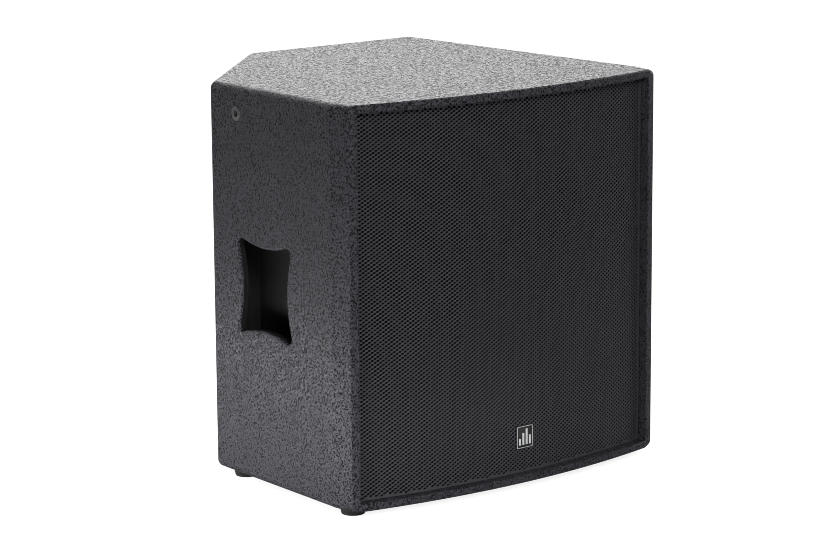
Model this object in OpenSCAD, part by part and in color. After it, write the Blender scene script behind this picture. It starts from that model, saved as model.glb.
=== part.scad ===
// Compact ported subwoofer cabinet: trapezoid plan with one cut rear corner, bowed front,
// recessed perforated grille, one long-throw driver and four port tubes.
// Right-handed, +Z up, front faces -Y, origin at the centre of the overall box, on the floor.

/* [Cabinet] */
// Widest part of the cabinet, across the bends behind the front corners
body_w = 597; // [590:1:640]
// Width across the front corners
front_w = 585; // [575:1:588]
// Height of the wooden box without its feet
box_h = 588; // [580:1:620]
// Depth from the front corners to the rear panel
back_y = 564; // [540:1:600]
// How far the middle of the front bows forward of its corners
bow = 34; // [24:1:38]
// Depth at which the bevelled front rails meet the side panels
bend_y = 37; // [37:1:40]
// How much each side leans in towards the rear, in degrees
side_taper = 2.5; // [2:0.1:3]
// Depth at which the left side meets the cut corner
corner_y = 340; // [335:1:350]
// Distance of the cut corner's rear end from the centre plane
corner_back_x = 54; // [40:1:70]
// Thickness of the outer plywood panels
panel_t = 12; // [12:0.5:13]
// Rounding of the long outer edges
edge_r = 11; // [4:1:11]
// Rounding of the two bowed front edges
front_edge_r = 4; // [2:0.5:5]

/* [Front] */
// Width of the opening between the front rails
opening_w = 558; // [556:1:560]
// Distance from the front rim back to the face of the grille
grille_recess = 15.5; // [12:0.5:16]
// Thickness of the steel grille sheet
grille_t = 1.5; // [1:0.25:2]
// Thickness of the acoustic foam behind the grille
foam_t = 5; // [3:0.5:5]
// Thickness of the baffle board
baffle_t = 18; // [15:1:21]

/* [Driver] */
// Outer radius of the driver's mounting flange
flange_r = 230; // [228:0.5:231]
// Radius of the cut-out in the baffle
cutout_r = 211; // [210.5:0.5:212]
// Radius of the driver's bolt circle
bolt_circle_r = 220; // [219:0.5:221]
// Radius of the voice coil former's outer face
coil_r = 51.3; // [51.2:0.1:51.4]

/* [Ports] */
// Inner radius of each port tube
port_r = 45; // [35:1:46]
// Length of each port tube
port_len = 250; // [150:5:255]

/* [Handles] */
// Half the distance between the hand hole's rounded tips, along the side
tip_half_w = 59; // [50:1:62]
// Half the distance between the hand hole's rounded tips, upright
tip_half_h = 61; // [50:1:64]
// Rounding of the hand hole's tips
tip_r = 9; // [7:1:10]
// How far the hand hole's upright sides bow in from the line through its tips' centres
side_bow_in = 1; // [-1:0.5:2]
// How far its upper and lower edges stay outside the line through its tips' centres
top_bow_out = 0.5; // [-1:0.5:2]
// Inside depth of the pocket behind the panel
pocket_depth = 41; // [30:1:45]

/* [Feet] */
// Radius of a rubber foot at the cabinet
foot_r = 19; // [15:1:20]
// Height of a rubber foot
foot_h = 9; // [6:1:12]

/* [Hidden] */
$fn = 96;
fine_fn = 720;
eps = 0.01;

mid_y = (back_y - bow) / 2;
half_front = front_w / 2;
front_r = (half_front * half_front + bow * bow) / (2 * bow);
front_cy = front_r - bow;
inner_h = box_h - 2 * panel_t;
grille_r = front_r - grille_recess;
foam_r = grille_r - grille_t;
batten_r = foam_r - foam_t;
driver_z = box_h / 2;
back_inner_y = back_y - panel_t;

// Plan points, anticlockwise from above, before the corners are rounded
function side_x(y) = body_w / 2 - (y - bend_y) * tan(side_taper);
right_bend = [body_w / 2, bend_y];
right_back = [side_x(back_y), back_y];
left_back = [-corner_back_x, back_y];
corner_start = [-side_x(corner_y), corner_y];
left_bend = [-body_w / 2, bend_y];

function unit(v) = v / norm(v);
// The line through p and q, moved to its left by d
function shifted(p, q, d) = let(u = unit(q - p), n = [-u[1], u[0]]) [p + d * n, q + d * n];
function cross2(a, b) = a[0] * b[1] - a[1] * b[0];
// The point where two lines, each given by two points, cross
function meet(a, b) =
    let(u = a[1] - a[0], v = b[1] - b[0])
    a[0] + u * cross2(b[0] - a[0], v) / cross2(u, v);
// A point beyond corner v on the mitre line that runs out from m
function beyond(v, m) = v + 2 * (v - m);
function arc(c, r, from, sweep, steps) =
    [for (i = [0 : steps]) c + r * [cos(from + sweep * i / steps), sin(from + sweep * i / steps)]];
// A rounded corner at v, between the neighbours a and b of an anticlockwise outline
function corner_arc(a, v, b, r, steps = 8) =
    let(u = unit(a - v), w = unit(b - v), half = acos(u * w) / 2)
    let(c = v + unit(u + w) * r / sin(half), p = v + u * r / tan(half))
    arc(c, r, atan2(p[1] - c[1], p[0] - c[0]), 180 - 2 * half, steps);

// Inner faces of the walls, as lines
right_inner = shifted(right_bend, right_back, panel_t);
back_inner = shifted(right_back, left_back, panel_t);
corner_inner = shifted(left_back, corner_start, panel_t);
left_inner = shifted(corner_start, left_bend, panel_t);
mitre_back = meet(back_inner, corner_inner);
mitre_left = meet(corner_inner, left_inner);
function across(y) = [[-1, y], [1, y]];
function left_inner_at(y) = meet(left_inner, across(y));
function right_inner_at(y) = meet(right_inner, across(y));

// Everything is drawn with y from the front corners and z from the box's underside
module in_row() {
    translate([0, -mid_y, foot_h]) children();
}

// A wall standing between the top and bottom panels
module upright() {
    in_row() translate([0, 0, panel_t]) linear_extrude(inner_h) children();
}

// Left side frame: x towards the front, y up, z out of the cabinet, from the bend's foot
module on_left_side() {
    in_row() translate([-body_w / 2, bend_y, 0]) rotate([90, 0, -90 - side_taper]) children();
}

// Distance along the side from the bend to a depth y, as an x in the side frame
function along_side(y) = -(y - bend_y) / cos(side_taper);

// Driver frame: z towards the listener, from the front face of the baffle
module on_baffle(x = 0, z = driver_z) {
    in_row() translate([x, bend_y, z]) rotate([90, 0, 0]) children();
}

// Rear frame: x to the viewer's right from behind, y up, z out of the cabinet
module on_rear(x, z) {
    in_row() translate([x, back_y, z]) rotate([90, 0, 180]) children();
}

module body_plan() {
    intersection() {
        polygon(concat(
            [[-half_front, 0], [-half_front, -bow - 10], [half_front, -bow - 10], [half_front, 0]],
            [right_bend],
            corner_arc(right_bend, right_back, left_back, edge_r),
            corner_arc(right_back, left_back, corner_start, edge_r),
            corner_arc(left_back, corner_start, left_bend, edge_r),
            [left_bend]));
        translate([0, front_cy]) circle(front_r, $fn = fine_fn);
    }
}

module ring(outer, inner, low, high) {
    translate([0, 0, low]) linear_extrude(high - low) difference() {
        circle(outer);
        circle(inner);
    }
}

module rounded_rect(w, h, r) {
    square([w - 2 * r, h], center = true);
    square([w, h - 2 * r], center = true);
    for (x = [-1, 1], y = [-1, 1])
        translate([x * (w / 2 - r), y * (h / 2 - r)]) circle(r);
}

// A round wire through a list of points, with an arc of radius bend_r at each inner point
module bent_wire(points, r, bend_r) {
    last = len(points) - 1;
    function heading(i) = unit(points[i + 1] - points[i]);
    function turn(i) = acos(heading(i - 1) * heading(i));
    function trim(i) = i == 0 || i == last ? 0 : bend_r * tan(turn(i) / 2);
    for (i = [0 : last - 1]) {
        u = heading(i);
        translate(points[i] + u * trim(i)) rotate([0, acos(u[2]), atan2(u[1], u[0])])
            cylinder(h = norm(points[i + 1] - points[i]) - trim(i) - trim(i + 1), r = r, $fn = 24);
    }
    for (i = [1 : last - 1]) {
        u = heading(i - 1);
        inward = unit(heading(i) - u * (u * heading(i)));
        start = points[i] - u * trim(i);
        centre = start + inward * bend_r;
        axis = cross(-inward, u);
        multmatrix([for (k = [0 : 2]) [-inward[k], u[k], axis[k], centre[k]]])
            rotate_extrude(angle = turn(i)) translate([bend_r, 0]) circle(r, $fn = 24);
    }
}

/* ---------- Wooden box ---------- */

// What a router takes off a corner: a square corner less its rounding, inwards and down
module router_profile(r) {
    difference() {
        translate([-1, -r]) square([r + 1, r + 1]);
        translate([r, -r]) circle(r);
    }
}

// Takes the upper edge off along the straight outline edge from p to q, outline anticlockwise
module straight_router(p, q) {
    step = q - p;
    overrun = 30;
    translate([p[0], p[1], 0]) rotate([0, 0, atan2(step[1], step[0])])
        translate([-overrun, 0, 0]) rotate([90, 0, 90])
        linear_extrude(norm(step) + 2 * overrun) router_profile(edge_r);
}

// The same along the bowed front
module bowed_router() {
    translate([0, front_cy, 0]) rotate([0, 0, -105]) rotate_extrude(angle = 30, $fn = fine_fn)
        translate([front_r, 0]) mirror([1, 0]) router_profile(front_edge_r);
}

// A full-plan board whose rounded face is at z = 0
module end_board() {
    difference() {
        translate([0, 0, -panel_t]) linear_extrude(panel_t) body_plan();
        straight_router(right_bend, right_back);
        straight_router(right_back, left_back);
        straight_router(left_back, corner_start);
        straight_router(corner_start, left_bend);
        bowed_router();
    }
}

module top_panel() {
    color([0.24, 0.24, 0.26]) in_row() translate([0, 0, box_h]) end_board();
}

module bottom_panel() {
    color([0.24, 0.24, 0.26]) difference() {
        in_row() mirror([0, 0, 1]) end_board();
        for (place = feet) foot_at(place) translate([0, 0, -eps])
            cylinder(h = foot_screw_bite + eps, r = foot_screw_r, $fn = 32);
    }
}

// Radius of a side of the hand hole that bows in between two tips; rise is how far its
// middle lies outside the line through the tips' centres
function bow_r(span, rise) = (span * span + rise * rise - tip_r * tip_r) / (2 * (tip_r - rise));

// The hand hole with its four bowed-in sides and four rounded tips
module hand_hole_plan() {
    tip_half = [tip_half_w, tip_half_h];
    waist_half = tip_half + [-side_bow_in, top_bow_out];
    top_bow = bow_r(tip_half[0], top_bow_out);
    side_bow = bow_r(tip_half[1], -side_bow_in);
    top_c = [0, waist_half[1] + top_bow];
    side_c = [waist_half[0] + side_bow, 0];
    to_top = top_c - tip_half;
    to_side = side_c - tip_half;
    from_a = atan2(to_side[1], to_side[0]);
    to_a = atan2(to_top[1], to_top[0]);
    quarter = arc(tip_half, tip_r, from_a, to_a - from_a, 10);
    top_a = atan2(-to_top[1], -to_top[0]);
    top_half = arc(top_c, top_bow, top_a, -90 - top_a, 6);
    side_a = atan2(-to_side[1], -to_side[0]);
    side_half = arc(side_c, side_bow, 180, side_a - 180, 6);
    one = concat([for (i = [0 : 5]) side_half[i]], quarter, [for (i = [1 : 6]) top_half[i]]);
    for (x = [0, 1], y = [0, 1]) mirror([x, 0]) mirror([0, y])
        polygon(concat([[-eps, -eps]], [[waist_half[0], -eps]], one, [[-eps, waist_half[1]]]));
}

handle_at = [along_side(207), 293];
rigging_at = [along_side(274), 546.5];
insert_flange = [12, 2.5];
insert_barrel = [6.5, 20];
thread_r = 3.4;

module side_cutouts() {
    on_left_side() {
        translate([handle_at[0], handle_at[1], -panel_t - 1])
            linear_extrude(panel_t + 2) hand_hole_plan();
        translate([rigging_at[0], rigging_at[1], 0]) {
            translate([0, 0, -insert_flange[1]])
                cylinder(h = insert_flange[1] + 1, r = insert_flange[0]);
            translate([0, 0, -panel_t - 1]) cylinder(h = panel_t + 2, r = insert_barrel[0]);
        }
    }
}

module left_side_panel() {
    color([0.22, 0.22, 0.24]) difference() {
        upright() intersection() {
            body_plan();
            polygon([mitre_left, beyond(corner_start, mitre_left),
                [-body_w, corner_y], [-body_w, bend_y], left_inner_at(bend_y)]);
        }
        side_cutouts();
    }
}

module right_side_panel() {
    color([0.22, 0.22, 0.24]) difference() {
        upright() intersection() {
            body_plan();
            polygon([right_inner_at(bend_y), [body_w, bend_y], [body_w, back_y + 20],
                right_inner_at(back_y + 20)]);
        }
        mirror([1, 0, 0]) side_cutouts();
    }
}

module corner_panel() {
    color([0.22, 0.22, 0.24]) upright() intersection() {
        body_plan();
        polygon([mitre_left, mitre_back, beyond(left_back, mitre_back),
            beyond(corner_start, mitre_left)]);
    }
}

// The rear panel, rebated so that the connector dish sits flush
module rear_panel() {
    color([0.22, 0.22, 0.24]) difference() {
        upright() intersection() {
            body_plan();
            polygon([mitre_back, meet(back_inner, right_inner), right_inner_at(back_y + 20),
                beyond(left_back, mitre_back)]);
        }
        on_rear(dish_x, dish_z) {
            translate([0, 0, -dish_flange_t - dish_gasket_t])
                linear_extrude(panel_t) rounded_rect(dish_size[0], dish_size[1], dish_corner);
            translate([0, 0, -panel_t - 1])
                linear_extrude(panel_t + 2) rounded_rect(tub_size[0], tub_size[1], tub_corner);
            dish_screw_places() translate([0, 0, -panel_t - 1])
                cylinder(h = panel_t + 2, r = small_screw_r, $fn = 32);
        }
    }
}

// Bevelled strip beside the grille, between the bend and the bowed front
module front_rail() {
    upright() intersection() {
        body_plan();
        translate([-body_w, -bow - 20]) square([body_w - opening_w / 2, bend_y + bow + 20]);
    }
}

module front_rail_left() {
    color([0.25, 0.25, 0.27]) front_rail();
}

module front_rail_right() {
    color([0.25, 0.25, 0.27]) mirror([1, 0, 0]) front_rail();
}

module baffle() {
    color([0.09, 0.09, 0.09]) difference() {
        upright() polygon([left_inner_at(bend_y), right_inner_at(bend_y),
            right_inner_at(bend_y + baffle_t), left_inner_at(bend_y + baffle_t)]);
        on_baffle() {
            translate([0, 0, -baffle_t - 1]) cylinder(h = baffle_t + 2, r = cutout_r, $fn = 180);
            bolt_places() translate([0, 0, -baffle_t - 1])
                cylinder(h = baffle_t + 2, r = tee_barrel_r + 0.05, $fn = 32);
        }
        for (x = [-1, 1], z = [-1, 1]) on_baffle(x * port_x, driver_z + z * port_z)
            translate([0, 0, -baffle_t - 1]) cylinder(h = baffle_t + 2, r = port_r + port_wall);
    }
}

// Stiffening frame across the box behind the driver, with open windows
brace_y = 310;
module window_brace() {
    window = [170, 210];
    window_corner = 30;
    window_x = 115;
    window_z = 130;
    color([0.72, 0.58, 0.38]) difference() {
        upright() polygon([left_inner_at(brace_y), right_inner_at(brace_y),
            right_inner_at(brace_y + panel_t), left_inner_at(brace_y + panel_t)]);
        in_row() for (x = [-1, 1], z = [-1, 1])
            translate([x * window_x, brace_y - 1, driver_z + z * window_z]) rotate([-90, 0, 0])
            linear_extrude(panel_t + 2) rounded_rect(window[0], window[1], window_corner);
    }
}

// Glued box that closes the hand hole off from the inside
pocket_wall = 9;
pocket_size = [170, 170];
pocket_offset = -4;
module handle_pocket() {
    on_left_side() translate([handle_at[0] + pocket_offset, handle_at[1], -panel_t]) difference() {
        translate([0, 0, -(pocket_depth + pocket_wall) / 2])
            cube([pocket_size[0] + 2 * pocket_wall, pocket_size[1] + 2 * pocket_wall,
                pocket_depth + pocket_wall], center = true);
        translate([0, 0, -pocket_depth / 2 + 0.5])
            cube([pocket_size[0], pocket_size[1], pocket_depth + 1], center = true);
    }
}

module handle_pocket_left() {
    color([0.08, 0.08, 0.08]) handle_pocket();
}

module handle_pocket_right() {
    color([0.08, 0.08, 0.08]) mirror([1, 0, 0]) handle_pocket();
}

/* ---------- Grille ---------- */

grille_gap = 0.5;
foam_margin = 6;
batten_h = 12;

// Plan band between two radii about the front's centre, as wide as w
module bowed_band(outer, inner, w) {
    intersection() {
        translate([0, front_cy]) difference() {
            circle(outer, $fn = fine_fn);
            circle(inner, $fn = fine_fn);
        }
        translate([-w / 2, -bow]) square([w, bow + bend_y]);
    }
}

// Curved support strip for the grille's upper or lower edge
module grille_batten() {
    linear_extrude(batten_h) intersection() {
        translate([0, front_cy]) circle(batten_r, $fn = fine_fn);
        translate([-opening_w / 2 + foam_margin, -bow])
            square([opening_w - 2 * foam_margin, bow + bend_y]);
    }
}

module grille_batten_top() {
    color([0.1, 0.1, 0.1]) in_row() translate([0, 0, box_h - panel_t - batten_h]) grille_batten();
}

module grille_batten_bottom() {
    color([0.1, 0.1, 0.1]) in_row() translate([0, 0, panel_t]) grille_batten();
}

// Bowed steel sheet with its side edges folded back; its perforation is not cut here
flange_depth = 13;
module grille() {
    sheet_w = opening_w - 2 * grille_gap;
    fold_y = front_cy - sqrt(grille_r * grille_r - sheet_w * sheet_w / 4);
    color([0.17, 0.17, 0.18]) in_row() translate([0, 0, panel_t + grille_gap])
        linear_extrude(inner_h - 2 * grille_gap) {
            bowed_band(grille_r, foam_r, sheet_w);
            for (side = [0, 1]) mirror([side, 0])
                translate([sheet_w / 2 - grille_t, fold_y + 0.3])
                square([grille_t, flange_depth]);
        }
}

module grille_foam() {
    color([0.04, 0.04, 0.04]) in_row() translate([0, 0, panel_t + 1])
        linear_extrude(inner_h - 2)
        bowed_band(foam_r, batten_r, opening_w - 2 * foam_margin);
}

// Spring leaves on the baffle that press the grille's folded edges against the rails
spring_heights = [150, 294, 438];
module grille_springs() {
    leaf_t = 0.8;
    leaf_h = 20;
    leaf_reach = 18;
    leaf_foot = 5;
    leaf_x = opening_w / 2 - grille_gap - grille_t;
    color([0.6, 0.6, 0.62]) for (side = [0, 1], z = spring_heights) mirror([side, 0, 0])
        in_row() translate([leaf_x, bend_y, z]) {
            translate([-leaf_t, -leaf_reach, -leaf_h / 2]) cube([leaf_t, leaf_reach, leaf_h]);
            translate([-leaf_foot, -leaf_t, -leaf_h / 2]) cube([leaf_foot, leaf_t, leaf_h]);
        }
}

// Small plain emblem plate on the grille, with four raised bars like a level meter's
badge_x = 17;
badge_z = 66;
badge_w = 34;
badge_h = 36;
module badge() {
    plate_t = 1.4;
    relief_t = 0.5;
    bar_w = 3.5;
    bar_step = 6.5;
    bar_foot = 12;
    bar_heights = [10, 18, 24, 14];
    color([0.06, 0.06, 0.06]) in_row() {
        translate([0, 0, badge_z - badge_h / 2]) linear_extrude(badge_h) intersection() {
            bowed_band(grille_r + plate_t, grille_r, opening_w);
            translate([badge_x - badge_w / 2, -bow]) square([badge_w, bow]);
        }
        for (i = [0 : 3]) {
            x = badge_x + bar_step * (i - 1.5) - bar_w / 2;
            translate([0, 0, badge_z - bar_foot]) linear_extrude(bar_heights[i]) intersection() {
                bowed_band(grille_r + plate_t + relief_t, grille_r + plate_t - 0.2, opening_w);
                translate([x, -bow]) square([bar_w, bow]);
            }
        }
    }
}

/* ---------- Driver ---------- */

bolt_count = 8;
bolt_r = 3.5;
shank_r = 2.9;
tee_barrel_r = 4;
gasket_t = 2;
flange_t = 9;
ledge_t = 4;
ledge_r = 214;
cone_r = 186;
cone_depth = 94;
spider_z = -110;
seat_z = -134;
plate_t = 12;
plate_r = 100;
magnet_t = 24;
magnet_r = 110;
yoke_t = 14;
spider_out = 104;

module bolt_places() {
    for (i = [0 : bolt_count - 1]) rotate([0, 0, 360 / bolt_count * (i + 0.5)])
        translate([bolt_circle_r, 0, 0]) children();
}

// Driver parts sit on the gasket, in front of the baffle
module on_driver() {
    on_baffle() translate([0, 0, gasket_t]) children();
}

module driver_gasket() {
    color([0.05, 0.05, 0.05]) on_baffle() difference() {
        ring(flange_r - 1, cutout_r + 1, 0, gasket_t);
        bolt_places() translate([0, 0, -1]) cylinder(h = gasket_t + 2, r = bolt_r, $fn = 32);
    }
}

// Cast frame: stepped flange, rim wall, eight arms, spider ledge and motor seat
module driver_basket() {
    wall_in = 203.5;
    wall_out = 209.5;
    rim_z = -34;
    hub_in = 60;
    hub_r = 112;
    ledge_in = 96;
    seat_t = 6;
    arm_angle = 16;
    color([0.2, 0.2, 0.21]) on_driver() difference() {
        union() {
            rotate_extrude() polygon([[wall_in, rim_z], [wall_out, rim_z], [wall_out, 0],
                [flange_r, 0], [flange_r, flange_t], [ledge_r, flange_t], [ledge_r, ledge_t],
                [wall_in, ledge_t]]);
            rotate_extrude() polygon([[hub_in, seat_z], [hub_r, seat_z], [hub_r, spider_z],
                [ledge_in, spider_z], [ledge_in, spider_z - seat_t],
                [spider_out, spider_z - seat_t], [spider_out, seat_z + seat_t],
                [hub_in, seat_z + seat_t]]);
            for (i = [0 : bolt_count - 1]) rotate([0, 0, 360 / bolt_count * i - arm_angle / 2])
                rotate_extrude(angle = arm_angle) polygon([[wall_in + 1, rim_z + 12],
                    [wall_out - 1, rim_z + 12], [wall_out - 1, rim_z + 1],
                    [hub_r - 1, seat_z + 4], [hub_r - 5, spider_z - 7], [hub_r - 7, spider_z - 2]]);
        }
        bolt_places() translate([0, 0, -1]) cylinder(h = flange_t + 2, r = bolt_r, $fn = 32);
    }
}

module surround_clamp_ring() {
    color([0.07, 0.07, 0.07]) on_driver() ring(ledge_r, 206, ledge_t + surround_t, flange_t);
}

// Treated cloth surround with three pleats between the cone and the ledge
surround_t = 0.8;
surround_out = 205;
module surround() {
    steps = 48;
    function u(i) = i / steps;
    function r_at(i) = cone_r + (surround_out - cone_r) * u(i);
    function z_at(i) = ledge_t * u(i) + 5 * pow(sin(540 * u(i)), 2);
    lower = [for (i = [0 : steps]) [r_at(i), z_at(i)]];
    upper = [for (i = [steps : -1 : 0]) [r_at(i), z_at(i) + surround_t]];
    lip = 6;
    lip_drop = lip * cone_depth / (cone_r - coil_r);
    color([0.08, 0.08, 0.08]) on_driver() rotate_extrude() polygon(concat(
        [[cone_r - lip, -lip_drop + 0.02], [cone_r, 0.02]],
        [for (i = [1 : steps]) lower[i]],
        [[ledge_r, ledge_t], [ledge_r, ledge_t + surround_t]],
        upper,
        [[cone_r - lip, -lip_drop + surround_t]]));
}

module cone() {
    color([0.1, 0.1, 0.11]) on_driver() rotate_extrude() polygon([[coil_r, -cone_depth],
        [cone_r, 0], [cone_r, -2.6], [coil_r, -cone_depth - 3.2]]);
}

// Domed cap over the coil
module dust_cap() {
    cap_r = 68;
    rise = 23;
    ball = (cap_r * cap_r + rise * rise) / (2 * rise);
    rim_z = -cone_depth + (cap_r - coil_r) * cone_depth / (cone_r - coil_r);
    color([0.09, 0.09, 0.1]) on_driver() translate([0, 0, rim_z + 0.02]) intersection() {
        translate([0, 0, rise - ball]) difference() {
            sphere(ball, $fn = 180);
            sphere(ball - 1.3, $fn = 180);
        }
        cylinder(h = rise + 1, r = cap_r + 1);
    }
}

module voice_coil_former() {
    color([0.75, 0.6, 0.35]) on_driver() ring(coil_r, coil_r - 0.7, -155, -cone_depth);
}

module voice_coil_winding() {
    color([0.72, 0.4, 0.2]) on_driver() ring(coil_r + 1.4, coil_r, -151, -129);
}

// Corrugated cloth disc that centres the coil
module spider() {
    flat = 5;
    steps = 60;
    cloth_t = 0.8;
    function r_at(i) = coil_r + flat + (spider_out - 2 * flat - coil_r) * i / steps;
    function z_at(i) = spider_z + 2.4 * sin(1980 * i / steps);
    color([0.8, 0.68, 0.42]) on_driver() rotate_extrude() polygon(concat(
        [[coil_r, spider_z]],
        [for (i = [0 : steps]) [r_at(i), z_at(i)]],
        [[spider_out, spider_z], [spider_out, spider_z + cloth_t]],
        [for (i = [steps : -1 : 0]) [r_at(i), z_at(i) + cloth_t]],
        [[coil_r, spider_z + cloth_t]]));
}

module top_plate() {
    gap_r = 54;
    color([0.55, 0.56, 0.58]) on_driver() ring(plate_r, gap_r, seat_z - plate_t, seat_z);
}

module magnet() {
    bore_r = 62;
    color([0.16, 0.16, 0.17]) on_driver()
        ring(magnet_r, bore_r, seat_z - plate_t - magnet_t, seat_z - plate_t);
}

// Rear plate with its vented centre pole in one piece
module back_plate() {
    pole_foot = seat_z - plate_t - magnet_t;
    pole_clearance = 1.9;
    vent_r = 15;
    color([0.55, 0.56, 0.58]) on_driver() difference() {
        union() {
            translate([0, 0, pole_foot - yoke_t]) cylinder(h = yoke_t, r = plate_r);
            translate([0, 0, pole_foot - eps])
                cylinder(h = plate_t + magnet_t + eps, r = coil_r - pole_clearance);
        }
        translate([0, 0, pole_foot - yoke_t - 1])
            cylinder(h = yoke_t + plate_t + magnet_t + 2, r = vent_r);
    }
}

// Two terminal posts under a small block beside the spider ledge
terminal_posts = [-9, 9];
terminal_turn = 22.5;
post_r_at = 118;
post_end_z = -134;
post_len = 6;
block = [12, 32, 14];
module driver_terminals() {
    color([0.65, 0.1, 0.08]) on_driver() rotate([0, 0, terminal_turn]) {
        translate([post_r_at - block[0] / 2, -block[1] / 2, post_end_z + post_len]) cube(block);
        for (y = terminal_posts) translate([post_r_at, y, post_end_z])
            cylinder(h = post_len + eps, r = 4, $fn = 32);
    }
}

// Braided leads from the terminal block's top to the back of the cone
module tinsel_leads() {
    block_top = post_end_z + post_len + block[2];
    bend_z = block_top + 20;
    cone_end = [93, -72];
    color([0.7, 0.45, 0.25]) on_driver() rotate([0, 0, terminal_turn]) for (y = terminal_posts)
        bent_wire([[post_r_at, y, block_top], [post_r_at, y, bend_z],
            [cone_end[0], y, cone_end[1]]], 0.9, 8);
}

module driver_screws() {
    color([0.1, 0.1, 0.1]) on_driver() bolt_places() {
        difference() {
            translate([0, 0, flange_t]) cylinder(h = 3.3, r = 5.25, $fn = 32);
            translate([0, 0, flange_t + 1.3]) cylinder(h = 3, r = 2.3, $fn = 6);
        }
        translate([0, 0, -gasket_t - baffle_t - 4])
            cylinder(h = flange_t + gasket_t + baffle_t + 4 + eps, r = shank_r, $fn = 32);
    }
}

module tee_nuts() {
    color([0.7, 0.68, 0.6]) on_baffle() bolt_places() difference() {
        union() {
            translate([0, 0, -baffle_t - 1.5]) cylinder(h = 1.5, r = 9, $fn = 32);
            translate([0, 0, -baffle_t - eps]) cylinder(h = 10, r = tee_barrel_r, $fn = 32);
        }
        translate([0, 0, -baffle_t - 3]) cylinder(h = 14, r = shank_r + 0.1, $fn = 32);
    }
}

/* ---------- Ports ---------- */

port_x = 224;
port_z = 214;
port_wall = 3;
port_lip = 7;
port_lip_t = 3;

// Port tube with a flared mouth flange on the front of the baffle
module port_tube(x, z) {
    color([0.06, 0.06, 0.06]) on_baffle(x * port_x, driver_z + z * port_z) {
        ring(port_r + port_wall, port_r, -port_len, eps);
        ring(port_r + port_lip, port_r, 0, port_lip_t);
    }
}

module port_tube_upper_left() {
    port_tube(-1, 1);
}

module port_tube_upper_right() {
    port_tube(1, 1);
}

module port_tube_lower_left() {
    port_tube(-1, -1);
}

module port_tube_lower_right() {
    port_tube(1, -1);
}

/* ---------- Connectors ---------- */

dish_x = 110;
dish_z = 190;
dish_size = [190, 130];
dish_corner = 12;
dish_flange_t = 3;
dish_gasket_t = 1.5;
tub_size = [154, 94];
tub_corner = 16;
tub_wall = 3;
tub_depth = 45;
socket_x = 36;
socket_hole_r = 12.2;
small_screw_r = 1.9;
sink_r = 3.8;
sink_h = 2.2;

module dish_screw_places() {
    for (x = [-1, 0, 1], y = [-1, 1])
        translate([x * (dish_size[0] / 2 - 9), y * (dish_size[1] / 2 - 9), 0]) children();
}

module socket_screw_places() {
    for (side = [-1, 1]) translate([side * 9.5, side * 12, 0]) children();
}

// Recessed moulded dish that carries the two sockets
module connector_dish() {
    color([0.07, 0.07, 0.07]) on_rear(dish_x, dish_z) difference() {
        union() {
            translate([0, 0, -dish_flange_t]) linear_extrude(dish_flange_t)
                rounded_rect(dish_size[0] - 1, dish_size[1] - 1, dish_corner);
            translate([0, 0, -tub_depth]) linear_extrude(tub_depth - dish_flange_t + eps)
                rounded_rect(tub_size[0] - 1, tub_size[1] - 1, tub_corner);
        }
        translate([0, 0, -tub_depth + tub_wall]) linear_extrude(tub_depth) rounded_rect(
            tub_size[0] - 1 - 2 * tub_wall, tub_size[1] - 1 - 2 * tub_wall, tub_corner - tub_wall);
        for (side = [-1, 1]) translate([side * socket_x, 0, -tub_depth - 1]) {
            cylinder(h = tub_wall + 2, r = socket_hole_r);
            socket_screw_places() cylinder(h = tub_wall + 2, r = small_screw_r, $fn = 32);
        }
        dish_screw_places() {
            translate([0, 0, -dish_flange_t - 1])
                cylinder(h = dish_flange_t + 2, r = small_screw_r, $fn = 32);
            translate([0, 0, -sink_h])
                cylinder(h = sink_h + eps, r1 = small_screw_r, r2 = sink_r + eps, $fn = 32);
        }
    }
}

module dish_gasket() {
    color([0.05, 0.05, 0.05]) on_rear(dish_x, dish_z)
        translate([0, 0, -dish_flange_t - dish_gasket_t]) difference() {
            linear_extrude(dish_gasket_t) difference() {
                rounded_rect(dish_size[0] - 1, dish_size[1] - 1, dish_corner);
                rounded_rect(tub_size[0], tub_size[1], tub_corner);
            }
            dish_screw_places() translate([0, 0, -1])
                cylinder(h = dish_gasket_t + 2, r = small_screw_r, $fn = 32);
        }
}

// Countersunk screw with the top of its head at z = 0
module countersunk_screw(head_r, head_h, r, reach) {
    difference() {
        translate([0, 0, -head_h]) cylinder(h = head_h, r1 = r, r2 = head_r, $fn = 32);
        for (turn = [0, 90]) rotate([0, 0, turn]) translate([-head_r * 0.5, -0.4, -head_h * 0.5])
            cube([head_r, 0.8, head_h]);
    }
    translate([0, 0, -reach]) cylinder(h = reach - head_h + eps, r = r, $fn = 32);
}

// Pan-head screw with its head's underside at z = 0
module pan_screw(head_r, head_h, r, reach) {
    difference() {
        cylinder(h = head_h, r1 = head_r, r2 = head_r * 0.75, $fn = 32);
        for (turn = [0, 90]) rotate([0, 0, turn]) translate([-head_r * 0.5, -0.4, head_h * 0.4])
            cube([head_r, 0.8, head_h]);
    }
    translate([0, 0, -reach]) cylinder(h = reach + eps, r = r, $fn = 32);
}

module dish_screws() {
    color([0.12, 0.12, 0.12]) on_rear(dish_x, dish_z) dish_screw_places()
        countersunk_screw(sink_r - 0.1, sink_h, small_screw_r - 0.1, panel_t - 0.5);
}

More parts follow.
